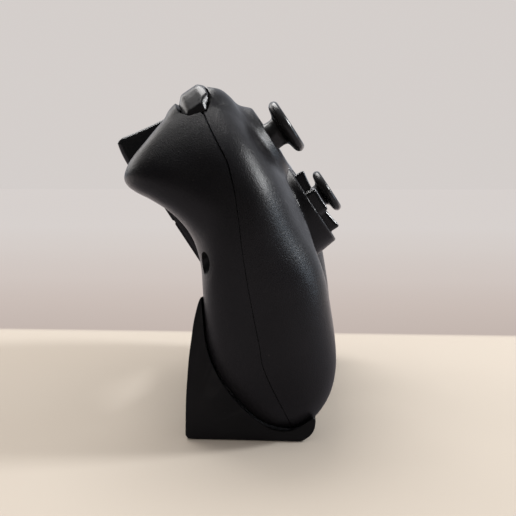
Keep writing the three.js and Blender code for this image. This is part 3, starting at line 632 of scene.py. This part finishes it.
def board_material():
    m, nt, bsdf, co = start("board")
    mapping = nt.nodes.new("ShaderNodeMapping")
    mapping.inputs["Rotation"].default_value = (0.25, 0, 0)
    nt.links.new(co, mapping.inputs["Vector"])
    b = nt.nodes.new("ShaderNodeTexBrick")
    b.inputs["Scale"].default_value = 260
    b.inputs["Mortar Size"].default_value = 0.05
    b.inputs["Color1"].default_value = (0.006, 0.055, 0.022, 1)
    b.inputs["Color2"].default_value = (0.009, 0.075, 0.030, 1)
    b.inputs["Mortar"].default_value = (0.03, 0.17, 0.07, 1)
    nt.links.new(mapping.outputs[0], b.inputs["Vector"])
    nt.links.new(b.outputs["Color"], bsdf.inputs["Base Color"])
    nt.links.new(spread(nt, noise(nt, co, 300, 3), 0.25, 0.45), bsdf.inputs["Roughness"])
    nt.links.new(bump(nt, b.outputs["Fac"], 0.4, 0.00003), bsdf.inputs["Normal"])


board_material()

for node in frame["nodes"].values():
    for s in node.material_slots:
        key = s.material.name.split(".")[0] if s.material else "shell"
        if key in MATS:
            s.material = MATS[key]
        else:
            found = next((k for k in MATS if k in key), "shell")
            s.material = MATS[found]

# ---------------------------------------------------------------- shells
H = 0.72
LO, HI = (-79.5, -83.5, -57), (79.5, 27.5, 3.5)
outer = net_piece(outer_field, LO, HI, H, "outer")
hollow = net_piece(lambda x, t, n: body(x, t, n, WALL), LO, HI, max(H, 1.4), "hollow", 2)

PART = [(40, -11.6), (18.1, -12.2), (9.7, -12.8), (2.9, -13.2), (-0.4, -13.4), (-3.3, -14.1), (-6.6, -15.2), (-10.1, -16.5), (-17.7, -20.1), (-25.2, -23.9), (-36.3, -29), (-49.9, -34.9), (-56.9, -38), (-72.6, -41.2), (-78.7, -42.8), (-95, -46)]
part_line = smooth_line(PART, 5)
PT = np.array([p[0] for p in part_line])[::-1]
PN = np.array([p[1] for p in part_line])[::-1]


def part_at(x, t):
    k = np.clip((abs(x) - 25) / 11, 0, 1)
    k = k * k * (3 - 2 * k)
    s = float(np.interp(t, PT, PN))
    return CENTRE_PART + (s - CENTRE_PART) * k


def fade(t):
    """The two shells meet more tightly below the bumpers."""
    k = min(1.0, max(0.0, (t + 14) / 16))
    return 0.3 + 0.7 * k * k * (3 - 2 * k)


def half_space(far, gap):
    xs = [-90, -50, -37, -35, -33, -31, -29, -27, -25, 25, 27, 29, 31, 33, 35, 37, 50, 90]
    ts = np.linspace(40, -95, 91)
    return loft([[(x, t, part_at(x, t) + gap * fade(t)) for t in ts] + [(x, -95, far), (x, 40, far)] for x in xs], "half")


# strip along the top edge
def top_edge(xs):
    t, n = np.arange(-4, 30, 0.1), np.arange(-30, 2, 0.4)
    out = []
    for x in xs:
        m = body(x, t[:, None], n[None, :]).min(1)
        k = np.nonzero(m < 0)[0].max()
        out.append(t[k] + 0.1 * (-m[k]) / (m[k + 1] - m[k]))
    return np.array(out)


EX = np.arange(0, 67, 1.0)
ET = np.convolve(np.pad(top_edge(EX), 2, mode="edge"), np.ones(5) / 5, "valid")


def edge_line(x):
    return np.interp(np.abs(x), EX, ET)


def slot_field(x, t, n):
    """Room for the bumpers and the bridge, which follows their outline with a fine gap."""
    a, ax = t - edge_line(x), np.abs(x)
    qa, qn = np.abs(a + 0.3) - 4.3 + 0.6, np.abs(n + 13.15) - 5.4 + 0.6
    d = np.hypot(np.maximum(qa, 0), np.maximum(qn, 0)) + np.minimum(np.maximum(qa, qn), 0) - 0.6
    d = smax(d, ax - 64.5, 0.4)
    d = smax(d, (ax - 59.4) * 0.62 + (n + 7.6) * 0.785 - 0.3, 0.3)
    return smax(d, (ax - 60.6) * 0.62 - (n + 18.9) * 0.785 - 0.3, 0.3)


def strip_slot():
    return net_piece(slot_field, (-67, 2, -21), (67, 30, -6), 0.5, "slot")


def well(x, t, top):
    r = 0.55
    rim = [(0, top + 4), (8.6 + r, top + 4), (8.6 + r, top)]
    for k in range(1, 7):
        q = k / 6 * math.pi / 2
        rim.append((8.6 + r - r * math.sin(q), top - r + r * math.cos(q)))
    rim += [(8.6, -4.0), (9.2, -4.9), (10.4, -7.7), (10.8, -10.2), (10.8, -20), (0, -20)]
    return lathe(x, t, rim, 96, "well")


def cross(cx, ct, l, w, r_out, r_in):
    pts = [(w, l), (w, w), (l, w), (l, -w), (w, -w), (w, -l), (-w, -l), (-w, -w), (-l, -w), (-l, w), (-w, w), (-w, l)]
    rad = [r_out, r_in, r_out, r_out, r_in, r_out, r_out, r_in, r_out, r_out, r_in, r_out]
    return eased([(cx + a, ct + b) for a, b in pts], rad, 5, True)


def outline_poly(grow):
    ht, hn = HINGE
    r = TRIG_R + grow
    at = lambda R, a: (ht + R * math.sin(math.radians(a)), hn - R * math.cos(math.radians(a)))
    top = smooth_line([(22.5 + grow, -18.9 - (0 if grow else 0.3)), (22.9 + grow, -22.1), (23.4 + grow, -26.5), (24.1 + grow, -30.9), (24.9 + grow, -35.3), (25.75 + grow, -39.2)], 6)
    arc = [(25.7 + grow, -40.4), (25.5 + grow, -41.0)] + [at(r, a) for a in np.linspace(15.8, -6, 22)]
    back = [at(r - 6.5, -6 - (2 if grow else 0)), (ht - 3.4 - grow, hn - 8), (ht - 2.9 - grow, hn)]
    round_ = [at(2.9 + grow, a) for a in np.linspace(262, 150, 12)]
    return top + arc + back + round_


def trig_sweep():
    ht, hn = HINGE
    R = TRIG_R + 0.5
    at = lambda q, a: (ht + q * math.sin(math.radians(a)), hn - q * math.cos(math.radians(a)))
    pts = [(40, -19.2), (40, -39)]
    pts += [at(R, a) for a in np.linspace(18.5, -26.5, 28)]
    pts += [at(10, -40), (ht - 6, hn - 2), (ht - 4, hn + 3.4), (ht + 3, hn + 3.4), (ht + 4.2, -18.9)]
    return pts


bay_right = prism(trig_sweep(), TRIG_X[0] - 0.6, TRIG_X[1] + 0.6, name="bay_right")
bay_left = mirrored(bay_right, "bay_left")
slot_tool = strip_slot()
front_half, rear_half = half_space(45, SEAM / 2), half_space(-75, -SEAM / 2)
# shallow groove that the parting line runs in
groove = meet(half_space(45, -0.42), half_space(-75, 0.36))
skin_in = net_piece(lambda x, t, n: body(x, t, n, 0.28), LO, HI, H, "skin_in")
cut(groove, skin_in)

front = copy(outer, "front")
cut(front, hollow, keep=True)
cut(front,
    rod_n(*LEFT_STICK, -11, -6.4, 10.8), rod_n(*DPAD, -14, BOSS_N - 2.2, 12.3), rod_n(*RIGHT_STICK, -14, -4, 12.3),
    well(*LEFT_STICK, 0), well(*RIGHT_STICK, BOSS_N))
for x, t in SCREWS:
    post = rod_n(x, t, -36.5 if t < -50 else -21.4, float(grip_front(t)) + 1, 3.4, 3.6, 28)
    meet(post, outer, keep=True)
    join(front, post)
meet(front, front_half)
cut(front, groove, keep=True)
for x, t in SCREWS:
    cut(front, rod_n(x, t, -60, float(grip_front(t)) - (6.4 if t > -50 else 3.6), 1.6, 1.6, 20))
cut(front, slot_tool, keep=True)


def opening(x, t, r, top, ease=0.35):
    p = [(0, top + 6), (r + ease, top + 6), (r + ease, top)]
    for k in range(1, 5):
        q = k / 4 * math.pi / 2
        p.append((r + ease - ease * math.sin(q), top - ease + ease * math.cos(q)))
    p += [(r, -12), (0, -12)]
    return lathe(x, t, p, 64, "opening")


cross_tool = prism(cross(*DPAD, 12, 4.8, 0.9, 0.5), -6, 3, axis="n")
face_top = -3.5
cut(front, cross_tool,
    *[opening(x, t, KEY_R + 0.45, face_top) for x, t in KEY_AT],
    opening(-13.5, 1.5, 3.5, face_top, 0.25), opening(13.5, 1.5, 3.5, face_top, 0.25), opening(0, 6.5, 8.5, face_top, 0.3),
    box(-4.2, 4.2, -45, -28.9, -14, -9, 0.6))

rear = copy(outer, "rear")
cut(rear, hollow, keep=True)
for x, t in SCREWS:
    post = rod_n(x, t, float(grip_rear(t)) - 3, -36.9 if t < -50 else -21.9, 4.6, 4.6, 32)
    meet(post, outer, keep=True)
    join(rear, post)
for a, b in ((24.9, 26.35), (49.25, 50.7)):
    wall = prism([(12.3, -14), (30, -14), (30, -52), (-2, -52), (-2, -18.4), (12.3, -18.4)], a, b, name="wall")
    meet(wall, outer, keep=True)
    other = mirrored(wall, "wall_left")
    join(rear, wall, other)
tray = box(-32.4, 32.4, -33.2, 4.1, -45, -24.2, 2)
meet(tray, outer, keep=True)
join(rear, tray)
meet(rear, rear_half)
cut(rear, groove)
for x, t in SCREWS:
    deep = -41 if t < -50 else -26
    surf = float(grip_rear(t))
    e = 0.4
    cut(rear, rod_n(x, t, -62, deep, 3.1), rod_n(x, t, -62, -20, 1.6, 1.6, 20))
cut(rear,
    box(-29.6, 29.6, -30, 1.4, -60, -26, 1.5),
    box(-31.1, 31.1, -32.2, 3.2, -60, -41.2, 2.0),
    rod_x(-50.4, -25.2, HINGE[0], HINGE[1], 1.15), rod_x(25.2, 50.4, HINGE[0], HINGE[1], 1.15),
    slot_tool, bay_right, bay_left)
bpy.data.objects.remove(hollow)


def largest(o):
    """Only the biggest separate part of the mesh is kept."""
    import bmesh
    bm = bmesh.new()
    bm.from_mesh(o.data)
    left, groups = set(bm.faces), []
    while left:
        stack, seen = [next(iter(left))], set()
        seen.add(stack[0])
        while stack:
            f = stack.pop()
            for e in f.edges:
                for g in e.link_faces:
                    if g not in seen:
                        seen.add(g)
                        stack.append(g)
        groups.append(seen)
        left -= seen
    groups.sort(key=lambda g: sum(f.calc_area() for f in g), reverse=True)
    drop = [f for g in groups[1:] for f in g]
    if drop:
        bmesh.ops.delete(bm, geom=drop, context="FACES")
        loose = [v for v in bm.verts if not v.link_faces]
        bmesh.ops.delete(bm, geom=loose, context="VERTS")
    bm.to_mesh(o.data)
    bm.free()
    o.data.update()
    return o


piece(largest(front), "shell_front", "shell", "gamepad", ["front_shell"], angle=38)
piece(largest(rear), "shell_rear", "shell", "gamepad", ["rear_shell"], angle=38)
bpy.data.objects.remove(outer)


# ---------------------------------------------------------------- bumpers and bridge
def strip_field(out, under, n0, n1, r, x0, x1, end=None):
    def f(x, t, n):
        a = t - edge_line(x)
        mid, half = (n0 + n1) / 2, (n1 - n0) / 2
        qa, qn = np.abs(a - (out - under) / 2) - (out + under) / 2 + r, np.abs(n - mid) - half + r
        d = np.hypot(np.maximum(qa, 0), np.maximum(qn, 0)) + np.minimum(np.maximum(qa, qn), 0) - r
        lip = 0.707 * (a - out + np.abs(n - mid) - half + np.where(n < mid, 2.5, 1.7))
        d = smax(d, lip, 0.5)
        d = smax(d, x - x1, 0.8)
        d = smax(d, x0 - x, 0.5)
        if end is not None:
            d = smax(d, end(x, t, n), 0.35)
        return d
    return f


def bumper_end(x, t, n):
    flat = ((x - 63.5) + 0.16 * (t - 20)) / 1.013
    over = ((x - 61.3) * 0.72 + (t - 22.1) * 0.69)
    fore = ((x - 59.4) * 0.62 + (n + 7.6) * 0.785)
    aft = ((x - 60.6) * 0.62 - (n + 18.9) * 0.785)
    return smax(smax(flat, over, 0.25), smax(fore, aft, 0.25), 0.25)


hb = 0.4
bumper = net_piece(strip_field(0.55, 2.0, -18.2, -8.15, 0.6, 20.9, 64.7, bumper_end), (19, 6, -20.5), (67, 28, -6), hb, "bumper")
left_bumper = mirrored(bumper, "bumper_l")
piece(bumper, "bumper_right", "satin", "right_bumper", ["right_bumper"], angle=60)
piece(left_bumper, "bumper_left", "satin", "left_bumper", ["left_bumper"], angle=60)
bridge = net_piece(strip_field(0.2, 2.2, -18.3, -8.15, 0.6, -20.3, 20.3), (-22, 14, -20.5), (22, 28, -6), hb, "bridge")
ring = [(11 + 2.4 * math.cos(q), -13.8 + 2.4 * math.sin(q)) for q in np.linspace(0, 2 * math.pi, 41)[:-1]]
cut(bridge, prism(ring, 15, 30, 0, axis="t"), prism(eased([(-4.3, -16.1), (4.3, -16.1), (4.3, -11.5), (-4.3, -11.5)], 0.7, 4, True), 15, 30, 0, axis="t"))
piece(bridge, "bridge_top", "gloss", "gamepad", ["top_bridge"], angle=50)


# ---------------------------------------------------------------- triggers
def polygon_distance(outline):
    P = np.array(outline, float)
    Q = np.roll(P, -1, 0)

    def f(a, b):
        a, b = np.broadcast_arrays(a, b)
        best = np.full(a.shape, 1e9)
        inside = np.zeros(a.shape, bool)
        for (x0, y0), (x1, y1) in zip(P, Q):
            ex, ey = x1 - x0, y1 - y0
            L = ex * ex + ey * ey
            if L < 1e-12:
                continue
            u = np.clip(((a - x0) * ex + (b - y0) * ey) / L, 0, 1)
            best = np.minimum(best, (a - x0 - u * ex) ** 2 + (b - y0 - u * ey) ** 2)
            cond = (y0 > b) != (y1 > b)
            inside ^= cond & (a < x0 + (b - y0) * ex / (ey if abs(ey) > 1e-12 else 1e-12))
        return np.where(inside, -1, 1) * np.sqrt(best)
    return f


trig_out = polygon_distance(outline_poly(0.0))


def trigger_field(x, t, n):
    d = trig_out(t, n)
    r = 1.5
    qx = np.abs(x - (TRIG_X[0] + TRIG_X[1]) / 2) - (TRIG_X[1] - TRIG_X[0]) / 2 + r
    q = d + r
    return np.hypot(np.maximum(q, 0), np.maximum(qx, 0)) + np.minimum(np.maximum(q, qx), 0) - r


trigger = net_piece(trigger_field, (25.5, 10, -45), (50, 28, -10), 0.42, "trigger")
cut(trigger, rod_x(20, 60, HINGE[0], HINGE[1], 1.3, 32))
inner = prism([(21, -19.5), (20.6, -24), (21.6, -33.5), (21.2, -39), (12.4, -39.2), (11.6, -34), (13.2, -19.5)], TRIG_X[0] + 2, TRIG_X[1] - 2, 0)
cut(trigger, meet(inner, box(20, 60, 5, 21, -39, -19.5)))
left_trigger = mirrored(trigger, "trigger_l")
piece(trigger, "trigger_right", "gloss", "right_trigger", ["right_trigger"], angle=50)
piece(left_trigger, "trigger_left", "gloss", "left_trigger", ["left_trigger"], angle=50)


# ---------------------------------------------------------------- sticks
def cap_profile():
    P = PIVOT_N
    under = [(0, P + 9.3), (1.75, P + 9.3), (1.75, P + 6.6), (3.2, P + 8.0)]
    skirt = smooth_line([(3.2, P + 8.0), (5.6, P + 6.9), (7.2, P + 5.3), (8.1, P + 4.0)], 5)[1:]
    lip = [(8.45, P + 3.86), (8.85, P + 3.86), (9.08, P + 4.1), (9.0, P + 4.4)]
    over = smooth_line([(9.0, P + 4.4), (7.2, P + 6.95), (5.6, P + 8.45), (4.8, P + 9.3), (4.55, P + 10.4), (4.5, P + 12.2), (4.75, P + 13.3)], 5)[1:]
    head = smooth_line([(4.75, P + 13.3), (5.6, P + 13.75), (7.6, P + 14.2), (8.55, P + 14.75), (9.05, P + 15.6), (8.95, P + 16.55), (8.4, P + 17.25), (7.7, P + 17.5), (7.05, P + 17.38)], 5)[1:]
    dish = [(6.8, P + 17.15), (6.6, P + 16.95)] + [(r, P + 16.9 - 0.5 * (1 - (r / 6.4) ** 2)) for r in (6.3, 5.4, 4.4, 3.4, 2.2, 1.1)] + [(0, P + 16.4)]
    return under + skirt + lip + over + head + dish


for side, at in (("left", LEFT_STICK), ("right", RIGHT_STICK)):
    cap = lathe(*at, cap_profile(), 112, "cap")
    piece(cap, f"stick_cap_{side}", "cap", f"{side}_stick_cap", [f"{side}_stick_cap"], angle=40)

# ---------------------------------------------------------------- keys and buttons
key_body = {n: b for b, ns in frame["record"]["behaviour"]["bodies"].items() for n in ns}


def button(x, t, r, flange, n0, step, top, crown, ease):
    p = [(0, n0), (r + flange - 0.15, n0), (r + flange, n0 + 0.15), (r + flange, step - 0.15), (r + flange - 0.15, step), (r + 0.1, step), (r, step + 0.1), (r, top - ease)]
    for k in range(1, 7):
        q = k / 6 * math.pi / 2
        p.append((r - ease + ease * math.cos(q), top - ease + ease * math.sin(q)))
    p = p[:-1]
    R = r - ease
    p += [(R * k, top + crown * (1 - k * k)) for k in (1.0, 0.85, 0.7, 0.55, 0.4, 0.25, 0.12)] + [(0, top + crown)]
    return lathe(x, t, p, 80, "button")


for nm, (x, t) in zip(("south", "east", "west", "north"), KEY_AT):
    piece(button(x, t, KEY_R, 1.0, -9.6, -8.5, -1.7, 0.65, 0.8), f"key_cap_{nm}", "gloss", key_body[f"key_{nm}"], [f"key_{nm}"], angle=45)
piece(button(-13.5, 1.5, 3.1, 1.1, -9, -8, -2.7, 0.25, 0.5), "back_key_cap", "gloss", key_body["back_button"], ["back_button"], angle=45)
piece(button(13.5, 1.5, 3.1, 1.1, -9, -8, -2.7, 0.25, 0.5), "start_key_cap", "gloss", key_body["start_button"], ["start_button"], angle=45)
piece(button(0, 6.5, 8.1, 0.9, -9.4, -8.3, -2.9, 0.95, 0.7), "guide_key_cap", "gloss", key_body["guide_button"], ["guide_button"], angle=45)


def cross_field(x, t, n):
    X, T = np.abs(x - DPAD[0]), np.abs(t - DPAD[1])

    def arm(a, b):
        qa, qb = a - 11.4 + 0.9, b - 4.2 + 0.9
        return np.hypot(np.maximum(qa, 0), np.maximum(qb, 0)) + np.minimum(np.maximum(qa, qb), 0) - 0.9
    d = smin(arm(X, T), arm(T, X), 0.8)
    r = np.hypot(X, T)
    d = smax(d, n - (1.55 + 0.0094 * r * r), 1.0)
    return smax(d, -6.6 - n, 0.4)


pad = net_piece(cross_field, (DPAD[0] - 12.5, DPAD[1] - 12.5, -7.5), (DPAD[0] + 12.5, DPAD[1] + 12.5, 4), 0.27, "cross")
piece(pad, "cross_pad", "gloss", key_body["dpad_cross"], ["dpad_cross"], angle=50)


# ---------------------------------------------------------------- battery cover
def cover_field(x, t, n):
    qx, qt = np.abs(x) - 30.8 + 2, np.abs(t + 14.5) - 17.4 + 2
    d = np.hypot(np.maximum(qx, 0), np.maximum(qt, 0)) + np.minimum(np.maximum(qx, qt), 0) - 2
    d = smax(d, COVER_N - n, 0.8)
    d = smax(d, n + 41.6, 0.3)
    groove = np.maximum(np.abs(t + 4.5) - 0.55, n - (COVER_N + 0.45))
    return smax(d, -groove, 0.3)


cover = net_piece(cover_field, (-32, -33, -45), (32, 4, -40.5), 0.45, "cover")
piece(cover, "battery_lid", "shell", key_body["battery_cover"], ["battery_cover"], angle=50)

# ---------------------------------------------------------------- stand
stand_pts = [(24.8, 0.25), (25.6, 1.3), (25.4, 11.5), (24.9, 19.1), (24.3, 26), (23.5, 31.7), (22.8, 36.6), (21.8, 41), (20.9, 43.8), (19.6, 45.6), (18.9, 45.3), (18.7, 40), (18.3, 33.5), (17.6, 28.3), (15.6, 22.1), (11.4, 14.7), (7.2, 10.4), (1.2, 5.2), (-3.4, 3.5), (-8.1, 4.0), (-13.9, 7.9), (-14.6, 7.2), (-14.5, 5), (-13.9, 3.2), (-12.6, 1.6), (-10.8, 0.45), (-9.4, 0.25)]
back = smooth_line(stand_pts[1:11], 5)
cradle = smooth_line(stand_pts[10:21], 5)[1:]
nose = smooth_line(stand_pts[20:27], 5)[1:]
stand_outline = [(y + FACE_Y, z) for y, z in [stand_pts[0]] + back + cradle + nose]
# stations run along x; the outline is (Y, Z)
stand = prism(stand_outline, -60, 60, 0.45, 3, name="stand")
seat = net_piece(lambda x, t, n: body(x, t, n, -0.75), (-81, -85.5, -58), (81, 29, 5), 0.9, "seat")
set_coords(seat, to_world_mm(coords(seat)))
cut(stand, seat)
middle = prism(eased([(-33.6, 21), (33.6, 21), (33.6, 80), (-33.6, 80)], [2.5, 2.5, 0, 0], 6, True), -40, 60, 0, axis="t", name="middle")
cut(stand, middle)
feet = [(-50, 19.5), (50, 19.5), (-50, -7.5), (50, -7.5)]
for x, y in feet:
    cut(stand, rod_n(x, y + FACE_Y, -1, 1.25, 4.3))
piece(largest(stand), "stand_wedge", "stand", "stand", ["stand_cradle"], world=True, angle=38)
for i, (x, y) in enumerate(feet):
    foot = lathe(x, y + FACE_Y, [(0, 0.12), (1.2, 0.12), (1.5, 0), (3.1, 0), (3.4, 0.12), (3.7, 0.12), (4.0, 0.4), (4.0, 1.0), (0, 1.0)], 56, "foot")
    piece(foot, f"foot_pad_{i + 1}", "rubber", "stand", [f"stand_foot_{i + 1}"], world=True, angle=40)

# ---------------------------------------------------------------- floor, light, camera
def stage_material(name, build):
    m = bpy.data.materials.new(name)
    m.use_nodes = True
    nt = m.node_tree
    bsdf = next(n for n in nt.nodes if n.type == "BSDF_PRINCIPLED")
    build(nt, bsdf)
    return m


def floor_and_glowing_wall_build(nt, bsdf):
    co = nt.nodes.new("ShaderNodeTexCoord").outputs["Object"]
    sep = nt.nodes.new("ShaderNodeSeparateXYZ")
    nt.links.new(co, sep.inputs[0])
    c = ramp(nt, sep.outputs["X"], [(0.1085, (0.515, 0.465, 0.405)), (0.1115, (0.0, 0.0, 0.0))])
    # painted reflection: glossy rays see the table painted a dim grey, so it gives only a dim mirror image of itself in
    # the dark plastic
    ray = nt.nodes.new("ShaderNodeLightPath")
    dim_reflection_paint = nt.nodes.new("ShaderNodeMix")
    dim_reflection_paint.data_type = "RGBA"
    nt.links.new(ray.outputs["Is Glossy Ray"], dim_reflection_paint.inputs["Factor"])
    nt.links.new(c, dim_reflection_paint.inputs["A"])
    dim_reflection_paint.inputs["B"].default_value = (0.18, 0.17, 0.185, 1)
    nt.links.new(dim_reflection_paint.outputs["Result"], bsdf.inputs["Base Color"])
    # beyond x = 0.11 m the floor is black and glows as the backdrop wall: painted light that no lamp gives, dimmer
    # towards x = 0.11 m as painted shade at the wall's foot
    g = ramp(nt, sep.outputs["X"], [(0.1085, (0.0, 0.0, 0.0)), (0.1115, (0.53, 0.45, 0.41)), (0.2, (0.57, 0.49, 0.45)), (0.33, (0.61, 0.54, 0.505)), (0.6, (0.64, 0.585, 0.555)), (1.0, (0.66, 0.615, 0.592))])
    nt.links.new(g, bsdf.inputs["Emission Color"])
    bsdf.inputs["Emission Strength"].default_value = 1.0
    bsdf.inputs["Roughness"].default_value = 0.9
    bsdf.inputs["Specular IOR Level"].default_value = 0.1


floor = make([(-6, -6, 0), (6, -6, 0), (6, 6, 0), (-6, 6, 0)], [(0, 1, 2, 3)], "floor")
floor.data.materials.append(stage_material("floor", floor_and_glowing_wall_build))


def area(name, loc, target, size, size_y, power, colour=(1, 1, 1)):
    l = bpy.data.lights.new(name, "AREA")
    l.shape, l.size, l.size_y, l.energy, l.color = "RECTANGLE", size, size_y, power, colour
    o = bpy.data.objects.new(name, l)
    o.location = loc
    o.rotation_mode = "QUATERNION"
    o.rotation_quaternion = (Vector(target) - Vector(loc)).to_track_quat("-Z", "Y")
    bpy.context.scene.collection.objects.link(o)
    return o


area("key", (0.02, -1.0, 0.85), (0, 0, 0.07), 0.24, 0.24, 10, (0.98, 0.99, 1))
area("window", (0.1, -1.5, 0.42), (0, 0, 0.06), 0.35, 0.7, 3.2, (0.72, 0.85, 1))
area("top", (0.6, 0.3, 1.35), (0, 0, 0.06), 0.9, 0.9, 14, (1, 0.98, 0.96))
area("rear_soft", (0.8, 1.0, 0.7), (0, 0, 0.06), 0.8, 0.8, 3.6, (1, 0.95, 0.90))
area("edge", (-0.05, 0.72, 1.15), (0, 0, 0.1), 0.08, 0.08, 0.4, (1, 0.99, 0.98))

world = bpy.data.worlds.new("studio")
bpy.context.scene.world = world
world.use_nodes = True
wn = world.node_tree
room = next(n for n in wn.nodes if n.type == "BACKGROUND")
room.inputs["Color"].default_value = (0.68, 0.64, 0.61, 1)
room.inputs["Strength"].default_value = 1.05
seen = wn.nodes.new("ShaderNodeBackground")
seen.inputs["Color"].default_value = (0.66, 0.62, 0.60, 1)
seen.inputs["Strength"].default_value = 1.0
dim = wn.nodes.new("ShaderNodeBackground")
dim.inputs["Color"].default_value = (0.60, 0.62, 0.68, 1)
# what the plastic mirrors: a pale wall behind, a bright ceiling and a dark room in front
at = wn.nodes.new("ShaderNodeTexCoord").outputs["Generated"]
split = wn.nodes.new("ShaderNodeSeparateXYZ")
wn.links.new(at, split.inputs[0])


def glow(axis, lo, hi, top):
    m = wn.nodes.new("ShaderNodeMapRange")
    m.interpolation_type = "SMOOTHSTEP"
    m.inputs["From Min"].default_value, m.inputs["From Max"].default_value = lo, hi
    m.inputs["To Min"].default_value, m.inputs["To Max"].default_value = 0, top
    wn.links.new(split.outputs[axis], m.inputs["Value"])
    return m.outputs[0]


wn.links.new(math_node(wn, "ADD", math_node(wn, "ADD", glow("X", 0.25, 0.85, 0.85), glow("Z", 0.6, 1.0, 0.35)), 0.05), dim.inputs["Strength"])
path = wn.nodes.new("ShaderNodeLightPath")
first, second = wn.nodes.new("ShaderNodeMixShader"), wn.nodes.new("ShaderNodeMixShader")
wn.links.new(path.outputs["Is Glossy Ray"], first.inputs[0])
wn.links.new(room.outputs[0], first.inputs[1])
wn.links.new(dim.outputs[0], first.inputs[2])
wn.links.new(path.outputs["Is Camera Ray"], second.inputs[0])
wn.links.new(first.outputs[0], second.inputs[1])
wn.links.new(seen.outputs[0], second.inputs[2])
wn.links.new(second.outputs[0], next(n for n in wn.nodes if n.type == "OUTPUT_WORLD").inputs["Surface"])

cam_data = bpy.data.cameras.new("camera")
cam_data.lens, cam_data.sensor_width = 54.28, 36
cam_data.clip_start, cam_data.clip_end = 0.01, 50
cam = bpy.data.objects.new("camera", cam_data)
bpy.context.scene.collection.objects.link(cam)
cam.location = (-0.292, -0.02551, 0.08026)
psi, phi = math.radians(4.06), math.radians(5.78)
cam.rotation_mode = "QUATERNION"
cam.rotation_quaternion = Vector((math.cos(phi) * math.cos(psi), math.cos(phi) * math.sin(psi), -math.sin(phi))).to_track_quat("-Z", "Y")
bpy.context.scene.camera = cam
bpy.context.scene.view_settings.view_transform = "Standard"
